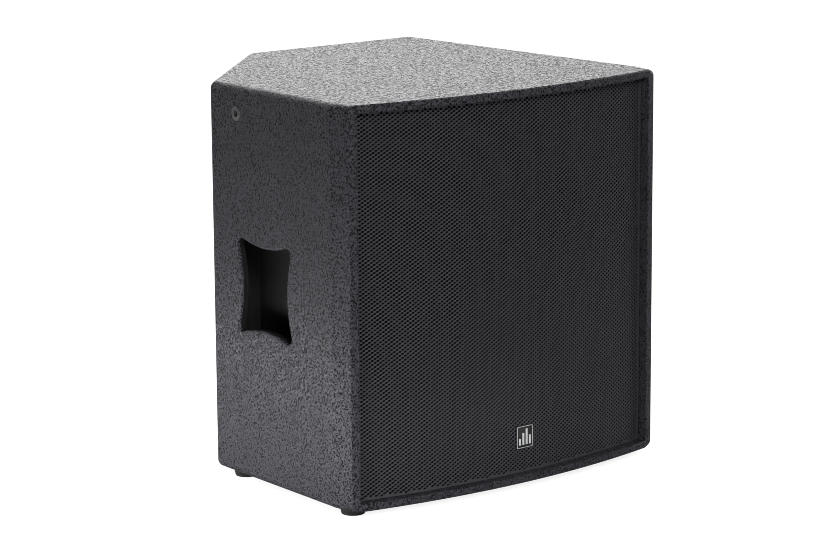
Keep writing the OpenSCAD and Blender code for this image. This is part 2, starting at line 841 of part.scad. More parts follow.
// Four-pole locking loudspeaker socket: square flange, keyed well and rear body
module socket(side) {
    color([0.08, 0.08, 0.1]) on_rear(dish_x, dish_z)
        translate([side * socket_x, 0, -tub_depth + tub_wall]) difference() {
            union() {
                linear_extrude(2.5) rounded_rect(26, 31, 3);
                translate([0, 0, -24]) cylinder(h = 24 + eps, r = socket_hole_r - 0.2);
                cylinder(h = 5, r = socket_hole_r - 0.2);
            }
            translate([0, 0, -14]) difference() {
                cylinder(h = 25, r = 10);
                translate([0, 0, -1]) cylinder(h = 17, r = 6.2);
            }
            for (turn = [0, 180]) rotate([0, 0, turn]) translate([-2.2, 9, -14])
                cube([4.4, 2.2, 25]);
            socket_screw_places() translate([0, 0, -1])
                cylinder(h = 5, r = small_screw_r, $fn = 32);
        }
}

module input_socket() {
    socket(1);
}

module link_socket() {
    socket(-1);
}

module socket_screws() {
    color([0.12, 0.12, 0.12]) on_rear(dish_x, dish_z) for (side = [-1, 1])
        translate([side * socket_x, 0, -tub_depth + tub_wall + 2.5]) socket_screw_places()
            pan_screw(3.2, 1.8, small_screw_r - 0.1, 12);
}

// Insulated lead from the input socket to the driver terminal at offset from the block's middle
module lead(offset) {
    socket_back = [dish_x - socket_x + offset * 0.4, back_y - tub_depth + tub_wall - 24, dish_z];
    terminal = [post_r_at * cos(terminal_turn) - offset * sin(terminal_turn),
        bend_y - gasket_t - post_end_z,
        driver_z + post_r_at * sin(terminal_turn) + offset * cos(terminal_turn)];
    bend_at = [socket_back[0], back_y - 130 + offset / 2, socket_back[2]];
    in_row() bent_wire([socket_back, bend_at, [terminal[0], bend_at[1], bend_at[2]],
        [terminal[0], bend_at[1], terminal[2]], terminal], 1.6, 12);
}

module lead_positive() {
    color([0.6, 0.05, 0.05]) lead(terminal_posts[1]);
}

module lead_negative() {
    color([0.05, 0.05, 0.05]) lead(terminal_posts[0]);
}

/* ---------- Wadding ---------- */

wadding_t = 25;
wadding_gap = 0.5;
wadding_front_y = brace_y + panel_t + 4;
right_face = shifted(right_inner[0], right_inner[1], wadding_gap);
back_face = shifted(back_inner[0], back_inner[1], wadding_gap);
corner_face = shifted(corner_inner[0], corner_inner[1], wadding_gap);
left_face = shifted(left_inner[0], left_inner[1], wadding_gap);

// Plan of the box's inside behind the brace, just clear of the walls
module rear_space() {
    polygon([meet(left_face, across(wadding_front_y)), meet(right_face, across(wadding_front_y)),
        meet(back_face, right_face), meet(back_face, corner_face), meet(corner_face, left_face)]);
}

module damping_top() {
    color([0.85, 0.85, 0.8]) in_row() translate([0, 0, box_h - panel_t - wadding_t])
        linear_extrude(wadding_t - wadding_gap) rear_space();
}

module damping_bottom() {
    color([0.85, 0.85, 0.8]) in_row() translate([0, 0, panel_t + wadding_gap])
        linear_extrude(wadding_t - wadding_gap) rear_space();
}

module damping_rear() {
    low = panel_t + wadding_t;
    clear = 8;
    wide = 220;
    color([0.85, 0.85, 0.8]) difference() {
        in_row() translate([mitre_back[0] + 2 * wadding_t, back_inner_y - wadding_t, low])
            cube([wide, wadding_t - wadding_gap, box_h - 2 * low]);
        on_rear(dish_x, dish_z) translate([0, 0, -panel_t - wadding_t - 1])
            linear_extrude(wadding_t + 2)
            rounded_rect(tub_size[0] + clear, tub_size[1] + clear, tub_corner);
    }
}

module damping_corner() {
    low = panel_t + wadding_t;
    outer = shifted(mitre_back, mitre_left, wadding_gap);
    inner = shifted(mitre_back, mitre_left, wadding_t);
    trim = 0.1 * (mitre_left - mitre_back);
    color([0.85, 0.85, 0.8]) in_row() translate([0, 0, low]) linear_extrude(box_h - 2 * low)
        polygon([outer[0] + trim, outer[1] - trim, inner[1] - trim, inner[0] + trim]);
}

/* ---------- Rigging and feet ---------- */

// Steel insert with a flush flange and a through thread
module rigging_insert() {
    on_left_side() translate([rigging_at[0], rigging_at[1], 0]) difference() {
        union() {
            translate([0, 0, -insert_flange[1]])
                cylinder(h = insert_flange[1], r = insert_flange[0]);
            translate([0, 0, -insert_barrel[1]])
                cylinder(h = insert_barrel[1] - eps, r = insert_barrel[0]);
        }
        translate([0, 0, -insert_barrel[1] - 1]) cylinder(h = insert_barrel[1] + 2, r = thread_r);
    }
}

module rigging_insert_left() {
    color([0.4, 0.4, 0.41]) rigging_insert();
}

module rigging_insert_right() {
    color([0.4, 0.4, 0.41]) mirror([1, 0, 0]) rigging_insert();
}

foot_front_left_at = [-268, 30];
foot_front_right_at = [268, 55]; // further back than the left one, hidden in the photo
foot_side_left_at = [-260, 300];
foot_rear_left_at = [-35, 532];
foot_rear_right_at = [245, 532];
feet = [foot_front_left_at, foot_front_right_at, foot_side_left_at, foot_rear_left_at,
    foot_rear_right_at];
foot_screw_r = 2.1;
foot_screw_bite = 9;
foot_head_well = [6.5, 4];
foot_draft = 2;

// A foot's frame, with z = 0 at the box's underside
module foot_at(place) {
    in_row() translate([place[0], place[1], 0]) children();
}

module foot(place) {
    color([0.03, 0.03, 0.03]) foot_at(place) difference() {
        translate([0, 0, -foot_h]) cylinder(h = foot_h, r1 = foot_r - foot_draft, r2 = foot_r);
        translate([0, 0, -foot_h - 1])
            cylinder(h = foot_head_well[1] + 1, r = foot_head_well[0], $fn = 48);
        translate([0, 0, -foot_h]) cylinder(h = foot_h + 1, r = foot_screw_r, $fn = 32);
    }
}

module foot_front_left() {
    foot(foot_front_left_at);
}

module foot_front_right() {
    foot(foot_front_right_at);
}

module foot_side_left() {
    foot(foot_side_left_at);
}

module foot_rear_left() {
    foot(foot_rear_left_at);
}

module foot_rear_right() {
    foot(foot_rear_right_at);
}

module foot_screws() {
    color([0.3, 0.3, 0.3]) for (place = feet) foot_at(place)
        translate([0, 0, foot_head_well[1] - foot_h]) mirror([0, 0, 1])
        pan_screw(5, 2.6, foot_screw_r - 0.1, foot_h - foot_head_well[1] + foot_screw_bite - 1);
}

top_panel();
bottom_panel();
left_side_panel();
right_side_panel();
corner_panel();
rear_panel();
front_rail_left();
front_rail_right();
baffle();
window_brace();
handle_pocket_left();
handle_pocket_right();
grille_batten_top();
grille_batten_bottom();
grille();
grille_foam();
grille_springs();
badge();
driver_basket();
driver_gasket();
surround_clamp_ring();
surround();
cone();
dust_cap();
voice_coil_former();
voice_coil_winding();
spider();
top_plate();
magnet();
back_plate();
driver_terminals();
tinsel_leads();
driver_screws();
tee_nuts();
port_tube_upper_left();
port_tube_upper_right();
port_tube_lower_left();
port_tube_lower_right();
connector_dish();
dish_gasket();
dish_screws();
input_socket();
link_socket();
socket_screws();
lead_positive();
lead_negative();
damping_rear();
damping_top();
damping_bottom();
damping_corner();
rigging_insert_left();
rigging_insert_right();
foot_front_left();
foot_front_right();
foot_side_left();
foot_rear_left();
foot_rear_right();
foot_screws();
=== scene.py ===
"""Finished model of a compact ported subwoofer cabinet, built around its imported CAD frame.

Metres, +Z up, the front faces -Y. Every piece is placed from the frame's own boxes and a few
driving dimensions of the cabinet.
"""
import math

import bmesh
import bpy
from mathutils import Matrix, Vector, noise
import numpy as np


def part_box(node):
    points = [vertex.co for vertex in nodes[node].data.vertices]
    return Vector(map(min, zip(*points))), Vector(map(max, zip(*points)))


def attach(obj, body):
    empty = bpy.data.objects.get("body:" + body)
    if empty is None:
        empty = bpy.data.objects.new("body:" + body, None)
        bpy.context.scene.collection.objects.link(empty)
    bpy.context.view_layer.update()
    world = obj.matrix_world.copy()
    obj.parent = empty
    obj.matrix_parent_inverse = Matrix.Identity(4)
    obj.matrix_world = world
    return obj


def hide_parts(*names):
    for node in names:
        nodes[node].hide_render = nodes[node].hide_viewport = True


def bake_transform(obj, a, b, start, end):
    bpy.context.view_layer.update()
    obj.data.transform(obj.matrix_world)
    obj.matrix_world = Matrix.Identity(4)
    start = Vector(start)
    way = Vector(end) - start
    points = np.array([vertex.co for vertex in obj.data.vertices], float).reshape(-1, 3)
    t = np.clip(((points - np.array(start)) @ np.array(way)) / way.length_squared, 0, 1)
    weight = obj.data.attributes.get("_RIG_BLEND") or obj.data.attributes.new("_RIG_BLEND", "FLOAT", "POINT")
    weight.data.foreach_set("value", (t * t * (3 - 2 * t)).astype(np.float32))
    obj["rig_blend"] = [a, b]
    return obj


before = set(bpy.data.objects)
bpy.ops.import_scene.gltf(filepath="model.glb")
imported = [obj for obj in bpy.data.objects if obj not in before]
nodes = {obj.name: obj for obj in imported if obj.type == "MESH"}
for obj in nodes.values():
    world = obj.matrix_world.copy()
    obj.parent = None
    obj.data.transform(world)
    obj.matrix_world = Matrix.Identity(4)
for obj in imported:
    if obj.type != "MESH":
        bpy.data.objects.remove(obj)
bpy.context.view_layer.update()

MM = 0.001
CABINET, DIAPHRAGM = "cabinet", "diaphragm"

# ---------- Driving dimensions, read from the frame where it holds them ----------

top_low, top_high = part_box("top_panel")
HALF_W = top_high.x  # at the bends behind the front corners
FRONT_Y, BACK_Y = top_low.y, top_high.y
TOP_Z, TOP_INNER_Z = top_high.z, top_low.z
BOTTOM_Z, BOTTOM_INNER_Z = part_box("bottom_panel")[0].z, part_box("bottom_panel")[1].z
PANEL = TOP_Z - TOP_INNER_Z
BOW = 34 * MM
CHORD_Y = FRONT_Y + BOW  # depth of the two front corners
HALF_FRONT = 292.5 * MM
BEND_Y = CHORD_Y + 37 * MM
TAPER = math.radians(2.5)
CORNER_Y = CHORD_Y + 340 * MM  # where the left side meets the cut corner
CORNER_BACK_X = -54 * MM
HALF_OPENING = -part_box("front_rail_left")[1].x
FRONT_R = (HALF_FRONT**2 + BOW**2) / (2 * BOW)
FRONT_CENTRE_Y = FRONT_Y + FRONT_R

EDGE_R = 11 * MM  # long outer edges
PLAN_R = 12 * MM  # upright outer edges
FRONT_EDGE_R = 3.5 * MM
FRONT_CORNER_R = 2.5 * MM
OPENING_LIP = 1 * MM  # rounded inner edge of the front opening
BEND_R = 9 * MM
ARC_STEPS = 8  # even, because boards meet in the middle of a corner's arc

basket_low, basket_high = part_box("driver_basket")
DRIVER_Z = (basket_low.z + basket_high.z) / 2
DRIVER_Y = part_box("driver_gasket")[0].y  # the driver's own zero plane, on its gasket


# ---------- Outlines in the plane ----------


def spread(low, high, steps):
    """Evenly spaced numbers, both ends included."""
    return [low + (high - low) * i / steps for i in range(steps + 1)]


def polar(centre, radius, angle):
    return centre + radius * Vector((math.cos(angle), math.sin(angle)))


def heading(direction):
    return math.atan2(direction.y, direction.x)


def fillet(before, corner, after, radius, steps=ARC_STEPS):
    """Points of the rounded corner of an anticlockwise outline."""
    u, w = (before - corner).normalized(), (after - corner).normalized()
    half = u.angle(w) / 2
    centre = corner + (u + w).normalized() * radius / math.sin(half)
    start = heading(corner + u * radius / math.tan(half) - centre)
    sweep = math.pi - 2 * half
    return [polar(centre, radius, t) for t in spread(start, start + sweep, steps)]


def rounded(corners, radii, steps=ARC_STEPS):
    """Each corner of an anticlockwise outline as its own list of arc points."""
    count = len(corners)
    return [
        fillet(corners[i - 1], corners[i], corners[(i + 1) % count], radii[i], steps)
        for i in range(count)
    ]


def rounded_rect(width, height, radius, steps=ARC_STEPS):
    w, h = width / 2, height / 2
    corners = [Vector((w, -h)), Vector((w, h)), Vector((-w, h)), Vector((-w, -h))]
    return [p for arc in rounded(corners, [radius] * 4, steps) for p in arc]


def ellipse(rx, ry, steps):
    turns = spread(0, 2 * math.pi, steps)[:-1]
    return [Vector((rx * math.cos(t), ry * math.sin(t))) for t in turns]


def inset(outline, amount):
    """An anticlockwise outline moved inwards."""
    moved = []
    for i, p in enumerate(outline):
        a = (p - outline[i - 1]).normalized()
        b = (outline[(i + 1) % len(outline)] - p).normalized()
        na, nb = Vector((-a.y, a.x)), Vector((-b.y, b.x))
        moved.append(p + (na + nb) / (1 + na.dot(nb)) * amount)
    return moved


def line_y(y):
    """The level line at y, as two of its points."""
    return Vector((-1, y)), Vector((1, y))


def shifted(line, distance):
    """A line moved to its left."""
    u = (line[1] - line[0]).normalized()
    offset = Vector((-u.y, u.x)) * distance
    return line[0] + offset, line[1] + offset


def meet(a, b):
    """Where two lines cross."""
    u, v, w = a[1] - a[0], b[1] - b[0], b[0] - a[0]
    return a[0] + u * (w.x * v.y - w.y * v.x) / (u.x * v.y - u.y * v.x)


def side_x(y):
    """How far out the tapered sides are at y."""
    return HALF_W - (y - BEND_Y) * math.tan(TAPER)


def bowed(low_x, high_x, steps):
    """Points along the bowed front."""
    across = spread(low_x, high_x, steps)
    return [Vector((x, FRONT_CENTRE_Y - math.sqrt(FRONT_R**2 - x**2))) for x in across]


# The cabinet's plan, anticlockwise from above
RIGHT_FRONT, RIGHT_BEND = Vector((HALF_FRONT, CHORD_Y)), Vector((HALF_W, BEND_Y))
RIGHT_BACK, LEFT_BACK = Vector((side_x(BACK_Y), BACK_Y)), Vector((CORNER_BACK_X, BACK_Y))
CORNER_START = Vector((-side_x(CORNER_Y), CORNER_Y))
LEFT_BEND, LEFT_FRONT = Vector((-HALF_W, BEND_Y)), Vector((-HALF_FRONT, CHORD_Y))
FRONT_ARC = bowed(-HALF_OPENING, HALF_OPENING, 62)
RAIL_STEPS = 3
RAIL_FRONT = bowed(-HALF_FRONT + 3 * MM, -HALF_OPENING, RAIL_STEPS)


def mirrored(points):
    return [Vector((-p.x, p.y)) for p in reversed(points)]


def plan_arcs():
    """Arc points of each named corner. The two unnamed ones are where the front's bow starts."""
    plan = (
        ("right_front", RIGHT_FRONT, FRONT_CORNER_R),
        ("right_bend", RIGHT_BEND, BEND_R),
        ("right_back", RIGHT_BACK, PLAN_R),
        ("left_back", LEFT_BACK, PLAN_R),
        ("corner", CORNER_START, PLAN_R),
        ("left_bend", LEFT_BEND, BEND_R),
        ("left_front", LEFT_FRONT, FRONT_CORNER_R),
        ("", RAIL_FRONT[0], MM),
        ("", mirrored(RAIL_FRONT)[-1], MM),
    )
    names, corners, radii = zip(*plan)
    return {name: arc for name, arc in zip(names, rounded(corners, radii)) if name}


PLAN = plan_arcs()
HALF_ARC = ARC_STEPS // 2


def between(first, last):
    """The plan's outside from the middle of one corner to the middle of the next."""
    return PLAN[first][HALF_ARC:] + PLAN[last][: HALF_ARC + 1]


# The walls' inner lines and where they meet
right_wall = shifted((RIGHT_BEND, RIGHT_BACK), PANEL)
back_wall = shifted((RIGHT_BACK, LEFT_BACK), PANEL)
corner_wall = shifted((LEFT_BACK, CORNER_START), PANEL)
left_wall = shifted((CORNER_START, LEFT_BEND), PANEL)
RIGHT_BEND_INNER, RIGHT_BACK_INNER = meet(right_wall, line_y(BEND_Y)), meet(right_wall, back_wall)
LEFT_BEND_INNER, LEFT_BACK_INNER = meet(left_wall, line_y(BEND_Y)), meet(back_wall, corner_wall)
CORNER_INNER = meet(corner_wall, left_wall)


# ---------- Mesh building ----------


SHARED_SLOTS = {
    "birch_ply_cross": "birch_ply",
    "gasket_rubber": "black_rubber",
    "tinned_braid": "copper_wire",
}


def slot_of(material):
    """The record's material slot, which most materials are named after."""
    name = material.name.split(".")[0]
    return SHARED_SLOTS.get(name, name)


def add_object(name, mesh, *materials, body=CABINET, replaces=None):
    """Links a finished mesh as a piece that rides on a body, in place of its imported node."""
    piece = bpy.data.objects.new(name, mesh)
    bpy.context.scene.collection.objects.link(piece)
    for material in materials:
        mesh.materials.append(material)
    if body:
        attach(piece, body)
    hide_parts(replaces or name)
    slot_of(materials[0])
    return piece


def smoothed(mesh, sharp=38):
    """Smooth shading, except across edges that are sharper than that many degrees."""
    mesh.shade_smooth()
    mesh.set_sharp_from_angle(angle=math.radians(sharp))
    return mesh


def mesh_of(bm, name, sharp=38):
    """A smoothed mesh from a bmesh, with outward normals."""
    bmesh.ops.remove_doubles(bm, verts=bm.verts, dist=1e-6)
    bmesh.ops.recalc_face_normals(bm, faces=bm.faces)
    mesh = bpy.data.meshes.new(name)
    bm.to_mesh(mesh)
    bm.free()
    return smoothed(mesh, sharp)


def weigh_normals(piece):
    """Keeps large flat faces flat next to their rounded edges."""
    modifier = piece.modifiers.new("flat_faces", "WEIGHTED_NORMAL")
    modifier.keep_sharp, modifier.weight = True, 100


def bridge(bm, a, b, material=0):
    """Quads between two loops of as many vertices."""
    for i in range(len(a)):
        face = bm.faces.new((a[i - 1], a[i], b[i], b[i - 1]))
        face.material_index = material


def cap(bm, ring, material=0):
    bm.faces.new(ring).material_index = material


def stacked(bm, rings, material=0):
    """A closed solid from a stack of rings of as many points each."""
    loops = [[bm.verts.new(p) for p in ring] for ring in rings]
    for a, b in zip(loops, loops[1:]):
        bridge(bm, a, b, material)
    cap(bm, loops[0], material)
    cap(bm, loops[-1], material)


def fill(bm, loops, material=0):
    """A flat face with holes, as triangles: the first loop is the outside."""
    edges = []
    for ring in loops:
        for pair in zip(ring[-1:] + ring[:-1], ring):
            edges.append(bm.edges.get(pair) or bm.edges.new(pair))
    made = bmesh.ops.triangle_fill(bm, use_beauty=True, use_dissolve=False, edges=edges)
    for item in made["geom"]:
        if isinstance(item, bmesh.types.BMFace):
            item.material_index = material


def quarter(steps):
    """(sine, cosine) pairs from 0 to 90 degrees."""
    return [(math.sin(t), math.cos(t)) for t in spread(0, math.pi / 2, steps)]


def lathe(name, profile, place, segments=96, closed=True, sharp=38):
    """A ring turned from a profile of (radius, height) points; place(x, y, z) puts it in space.

    A closed profile joins its last point to its first. An open one starts and ends on the axis.
    """
    bm = bmesh.new()
    rings = []
    for radius, height in profile:
        if radius < 1e-7:
            rings.append([bm.verts.new(place(0, 0, height))])
        else:
            circle = ellipse(radius, radius, segments)
            rings.append([bm.verts.new(place(p.x, p.y, height)) for p in circle])
    pairs = list(zip(rings, rings[1:])) + ([(rings[-1], rings[0])] if closed else [])
    for a, b in pairs:
        if len(a) == 1 or len(b) == 1:
            tip, ring = (a[0], b) if len(a) == 1 else (b[0], a)
            for i in range(segments):
                bm.faces.new((ring[i - 1], ring[i], tip))
        else:
            bridge(bm, a, b)
    return mesh_of(bm, name, sharp)


ACROSS, INTO, UP = Vector((1, 0, 0)), Vector((0, 1, 0)), Vector((0, 0, 1))


def placed(centre, x_axis, y_axis, z_axis):
    """A function that puts a piece's own (x, y, z) into the row frame."""

    def place(x, y, z):
        return centre + x_axis * x + y_axis * y + z_axis * z

    return place


# The driver's own frame, with z towards the listener
on_driver = placed(Vector((0, DRIVER_Y, DRIVER_Z)), ACROSS, UP, -INTO)


def eased_corner(before, corner, after, reach, steps):
    """Points that round a corner off over a reach on both sides."""
    a = corner + (before - corner).normalized() * reach
    b = corner + (after - corner).normalized() * reach
    return [a * (1 - t) ** 2 + corner * 2 * t * (1 - t) + b * t**2 for t in spread(0, 1, steps)]


def rounded_profile(points, radii, steps=4):
    """A profile of (radius, height) points, in millimetres, with its corners rounded."""
    corners = [Vector(p) * MM for p in points]
    out = []
    for i, (corner, r) in enumerate(zip(corners, radii)):
        before, after = corners[i - 1], corners[(i + 1) % len(corners)]
        if r <= 0:
            out.append(corner)
            continue
        half = (before - corner).angle(after - corner) / 2
        shorter = min((before - corner).length, (after - corner).length)
        reach = min(r * MM / math.tan(half), 0.45 * shorter)
        out += eased_corner(before, corner, after, reach, steps)
    return [(p.x, p.y) for p in out]


def tube(name, path, radius, sides, ripple):
    """A wire along a list of points, closed at both ends. ripple(turn, along) scales its radius."""
    rings = []
    side = (path[1] - path[0]).orthogonal().normalized()
    travelled = 0.0
    for i, p in enumerate(path):
        ahead = (path[min(i + 1, len(path) - 1)] - path[max(i - 1, 0)]).normalized()
        side = (side - ahead * side.dot(ahead)).normalized()
        up = ahead.cross(side)
        if i:
            travelled += (p - path[i - 1]).length
        ring = []
        for k in range(sides):
            turn = 2 * math.pi * k / sides
            r = radius * ripple(turn, travelled)
            ring.append(p + (side * math.cos(turn) + up * math.sin(turn)) * r)
        rings.append(ring)
    bm = bmesh.new()
    stacked(bm, rings)
    return mesh_of(bm, name, 60)


# ---------- Materials, in the object's own millimetres ----------


WAVE_RADIANS = 20  # the wave node's own phase per unit of its vector
MIDDLE_BAND = (0.3, 0.7)  # the part of a noise's range that most patterns stretch


class Nodes:
    """A node tree, filled by calls."""

    def __init__(self, tree):
        self.tree = tree

    def node(self, kind, inputs=(), **settings):
        """A new node, with (socket, value or other node's output) pairs as inputs."""
        made = self.tree.nodes.new(kind)
        for key, value in settings.items():
            setattr(made, key, value)
        for socket, value in inputs:
            self.give(made, socket, value)
        return made

    def give(self, node, socket, value):
        target = node.inputs[socket]
        if isinstance(value, bpy.types.NodeSocket):
            self.tree.links.new(value, target)
        elif target.type == "RGBA":
            target.default_value = (*value, 1)
        else:
            target.default_value = value

    def math(self, operation, a, b=0.0):
        return self.node("ShaderNodeMath", [(0, a), (1, b)], operation=operation).outputs[0]

    def steps(self, value, low, high, start=0.0, end=1.0):
        """value between low and high, spread over start to end."""
        inputs = enumerate((value, low, high, start, end))
        return self.node("ShaderNodeMapRange", inputs, interpolation_type="SMOOTHSTEP").outputs[0]


class Finish(Nodes):
    """A node material. Every pattern is placed by the piece's own coordinates."""

    def __init__(self, name, color, roughness, **sockets):
        self.material = bpy.data.materials.new(name)
        self.material.use_nodes = True
        super().__init__(self.material.node_tree)
        self.place = self.node("ShaderNodeTexCoord").outputs["Object"]
        self.set(Base_Color=color, Roughness=roughness, **sockets)

    def set(self, **sockets):
        """Sets or links inputs of the surface shader."""
        for socket, value in sockets.items():
            self.give(self.tree.nodes["Principled BSDF"], socket.replace("_", " "), value)

    def stretched(self, *scale):
        """The piece's coordinates, scaled along each axis."""
        inputs = [("Vector", self.place), ("Scale", scale)]
        return self.node("ShaderNodeMapping", inputs).outputs["Vector"]

    def noise(self, size, detail=2.0, rough=0.5, distortion=0.0, place=None):
        """Noise whose features are about size millimetres wide."""
        inputs = [("Vector", place or self.place), ("Scale", 1 / (size * MM)), ("Detail", detail)]
        inputs += [("Roughness", rough), ("Distortion", distortion)]
        return self.node("ShaderNodeTexNoise", inputs).outputs["Fac"]

    def cells(self, size):
        """Distance from the middles of cells about size millimetres wide."""
        inputs = [("Vector", self.place), ("Scale", 1 / (size * MM))]
        return self.node("ShaderNodeTexVoronoi", inputs).outputs["Distance"]

    def wave(self, size, axis, distortion=0.0):
        """Bands size millimetres apart, across the named axis."""
        scale = 2 * math.pi / WAVE_RADIANS / (size * MM)
        inputs = [("Vector", self.place), ("Scale", scale), ("Distortion", distortion)]
        return self.node("ShaderNodeTexWave", inputs, bands_direction=axis).outputs["Fac"]

    def facing(self, axis):
        """How squarely the surface faces along the named axis, 0 to 1."""
        normal = self.node("ShaderNodeTexCoord").outputs["Normal"]
        parts = self.node("ShaderNodeSeparateXYZ", [(0, normal)])
        return self.math("ABSOLUTE", parts.outputs[axis])

    def mix(self, factor, a, b):
        """A colour between a and b."""
        inputs = [(0, factor), (6, a), (7, b)]
        return self.node("ShaderNodeMix", inputs, data_type="RGBA").outputs[2]

    def bump(self, height, depth, strength=1.0, under=None):
        """Relief of depth millimetres between height 0 and 1, on top of another relief."""
        inputs = [("Height", height), ("Distance", depth * MM), ("Strength", strength)]
        if under is not None:
            inputs.append(("Normal", under))
        normal = self.node("ShaderNodeBump", inputs).outputs["Normal"]
        self.set(Normal=normal)
        return normal

    def mottled(self, cloud, band, tones, fine, gloss, depth, strength, under=None):
        """Two tones mixed by a broad pattern, and a fine pattern in the gloss and the relief."""
        self.set(Base_Color=self.mix(self.steps(cloud, *band), *tones))
        self.set(Roughness=self.steps(fine, *MIDDLE_BAND, *gloss))
        return self.bump(fine, depth, strength, under)


def shades(color, *factors):
    """A colour, darker or lighter by each factor."""
    return [tuple(c * factor for c in color) for factor in factors]


PEBBLE = 2.45  # millimetres
BROAD = 5.2  # millimetres
# The hollow colour is painted shade between the pebbles; the crest colour is the paint's own grey.
PAINT_HOLLOW_SHADE, PAINT_CREST = (0.003, 0.003, 0.004), (0.082, 0.080, 0.096)


def structured_paint():
    """Dark grey two-part paint, fine hard pebble; its hollows are duller and painted dark as shade."""
    f = Finish("structured_paint", (0.03, 0.03, 0.033), 0.42, Specular_IOR_Level=0.22)
    pebble = f.steps(f.noise(PEBBLE, 1.0, 0.6), 0.42, 0.58)
    pits = f.steps(f.cells(PEBBLE * 1.7), 0.25, 0.6)
    broad = f.steps(f.noise(BROAD, 1.0), 0.42, 0.58)
    level = f.steps(f.facing("Z"), 0.5, 0.9, 0.1, 0.7)
    height = f.math("ADD", f.math("MULTIPLY", pebble, 0.7), f.math("MULTIPLY", pits, 0.5))
    height = f.math("ADD", height, f.math("MULTIPLY", f.math("SUBTRACT", broad, 0.5), level))
    crest = f.steps(height, 0.2, 1.05)
    cloud = f.steps(f.noise(60), *MIDDLE_BAND, 0.96, 1.04)
    # Colour runs from hollow to crest by the relief's height: the dark hollows are painted shade.
    color = [(0, f.mix(crest, PAINT_HOLLOW_SHADE, PAINT_CREST)), ("Scale", cloud)]
    shade = f.node("ShaderNodeVectorMath", color, operation="SCALE")
    f.set(Base_Color=shade.outputs[0], Roughness=f.steps(crest, 0.0, 1.0, 0.6, 0.24))
    f.bump(height, 0.6)
    return f.material


def plywood(name, thickness_axis):
    """Birch plywood: long grain on its faces, alternating plies on its edges."""
    dark, pale, edge_dark = (0.44, 0.29, 0.16), (0.68, 0.52, 0.33), (0.26, 0.15, 0.075)
    f = Finish(name, pale, 0.55)
    scale = {"X": (1, 0.9, 0.05), "Y": (1, 1, 0.05), "Z": (0.05, 1, 1)}[thickness_axis]
    grain = f.noise(5.5, 5.0, 0.65, 0.5, f.stretched(*scale))
    fibre = f.noise(0.8, 2.0, 0.6, 0.0, f.stretched(*scale))
    face = f.mix(f.steps(grain, *MIDDLE_BAND), dark, pale)
    plies = f.steps(f.wave(3.0, thickness_axis, 0.15), 0.45, 0.55)
    edge = f.mix(plies, edge_dark, pale)
    f.set(Base_Color=f.mix(f.steps(f.facing(thickness_axis), 0.6, 0.8), edge, face))
    f.set(Roughness=f.steps(fibre, *MIDDLE_BAND, 0.5, 0.7))
    f.bump(fibre, 0.08, 0.6)
    return f.material


def painted_ply():
    """Thin matt black paint that lets the roller's stipple and some grain show."""
    f = Finish("black_painted_ply", (0.015, 0.015, 0.016), 0.6, Specular_IOR_Level=0.25)
    stipple = f.noise(1.4, 2.0, 0.6)
    grain = f.noise(4.0, 3.0, 0.6, 0.4, f.stretched(1, 1, 0.06))
    tones, under = ((0.008, 0.008, 0.009), (0.015, 0.015, 0.016)), f.bump(grain, 0.1, 0.5)
    f.mottled(grain, MIDDLE_BAND, tones, stipple, (0.5, 0.72), 0.12, 0.7, under)
    return f.material


def coated_steel(name, color, roughness, speck=0.55):
    """Powder coat: fine orange peel and a faint tone change."""
    f = Finish(name, color, roughness)
    peel = f.noise(speck)
    cloud = f.noise(8, 3.0, 0.6)
    gloss = roughness - 0.06, roughness + 0.08
    f.mottled(cloud, MIDDLE_BAND, shades(color, 0.88, 1.15), peel, gloss, 0.03, 0.6)
    return f.material


def bare_metal(name, color, roughness, grain, direction=(1, 1, 1), stain=0.25):
    """Plated or bare metal with fine tool lines and some dull patches."""
    f = Finish(name, color, roughness, Metallic=1.0)
    lines = f.noise(grain, 3.0, 0.6, 0.0, f.stretched(*direction))
    patches = f.noise(14, 3.0, 0.6)
    f.set(Base_Color=f.mix(f.steps(patches, 0.35, 0.65), *shades(color, 1 - stain, 1)))
    f.set(Roughness=f.steps(lines, 0.25, 0.75, roughness - 0.08, roughness + 0.16))
    f.bump(lines, 0.02, 0.5)
    return f.material


def moulded(name, color, roughness, grain, depth, patch=0.12):
    """Moulded plastic or rubber with a fine spark-eroded grain."""
    f = Finish(name, color, roughness)
    texture = f.noise(grain, 2.0, 0.55)
    gloss, tones = (roughness - 0.07, roughness + 0.09), shades(color, 1 - patch, 1 + patch)
    f.mottled(f.noise(22), (0.35, 0.65), tones, texture, gloss, depth, 0.6)
    return f.material


def cast_metal():
    """Black powder coat over a sand-blasted die casting."""
    f = Finish("cast_aluminium", (0.022, 0.022, 0.024), 0.5)
    blast = f.noise(0.9, 3.0, 0.6)
    flow = f.noise(26, 2.0, 0.5, 0.6)
    tones, under = ((0.017, 0.017, 0.018), (0.032, 0.032, 0.034)), f.bump(flow, 0.25, 0.3)
    f.mottled(flow, MIDDLE_BAND, tones, blast, (0.42, 0.6), 0.08, 0.7, under)
    return f.material


def open_foam():
    """Open-cell foam: pores painted darker than the thin struts, as shade inside them."""
    f = Finish("acoustic_foam", (0.006, 0.006, 0.006), 0.95, Specular_IOR_Level=0.05)
    pores = f.cells(0.9)
    tones = (0.001, 0.001, 0.001), (0.005, 0.005, 0.005)
    # The darker pore colour is painted shade inside the pores.
    f.set(Base_Color=f.mix(f.steps(pores, 0.15, 0.6), *tones))
    f.bump(pores, 0.5)
    return f.material


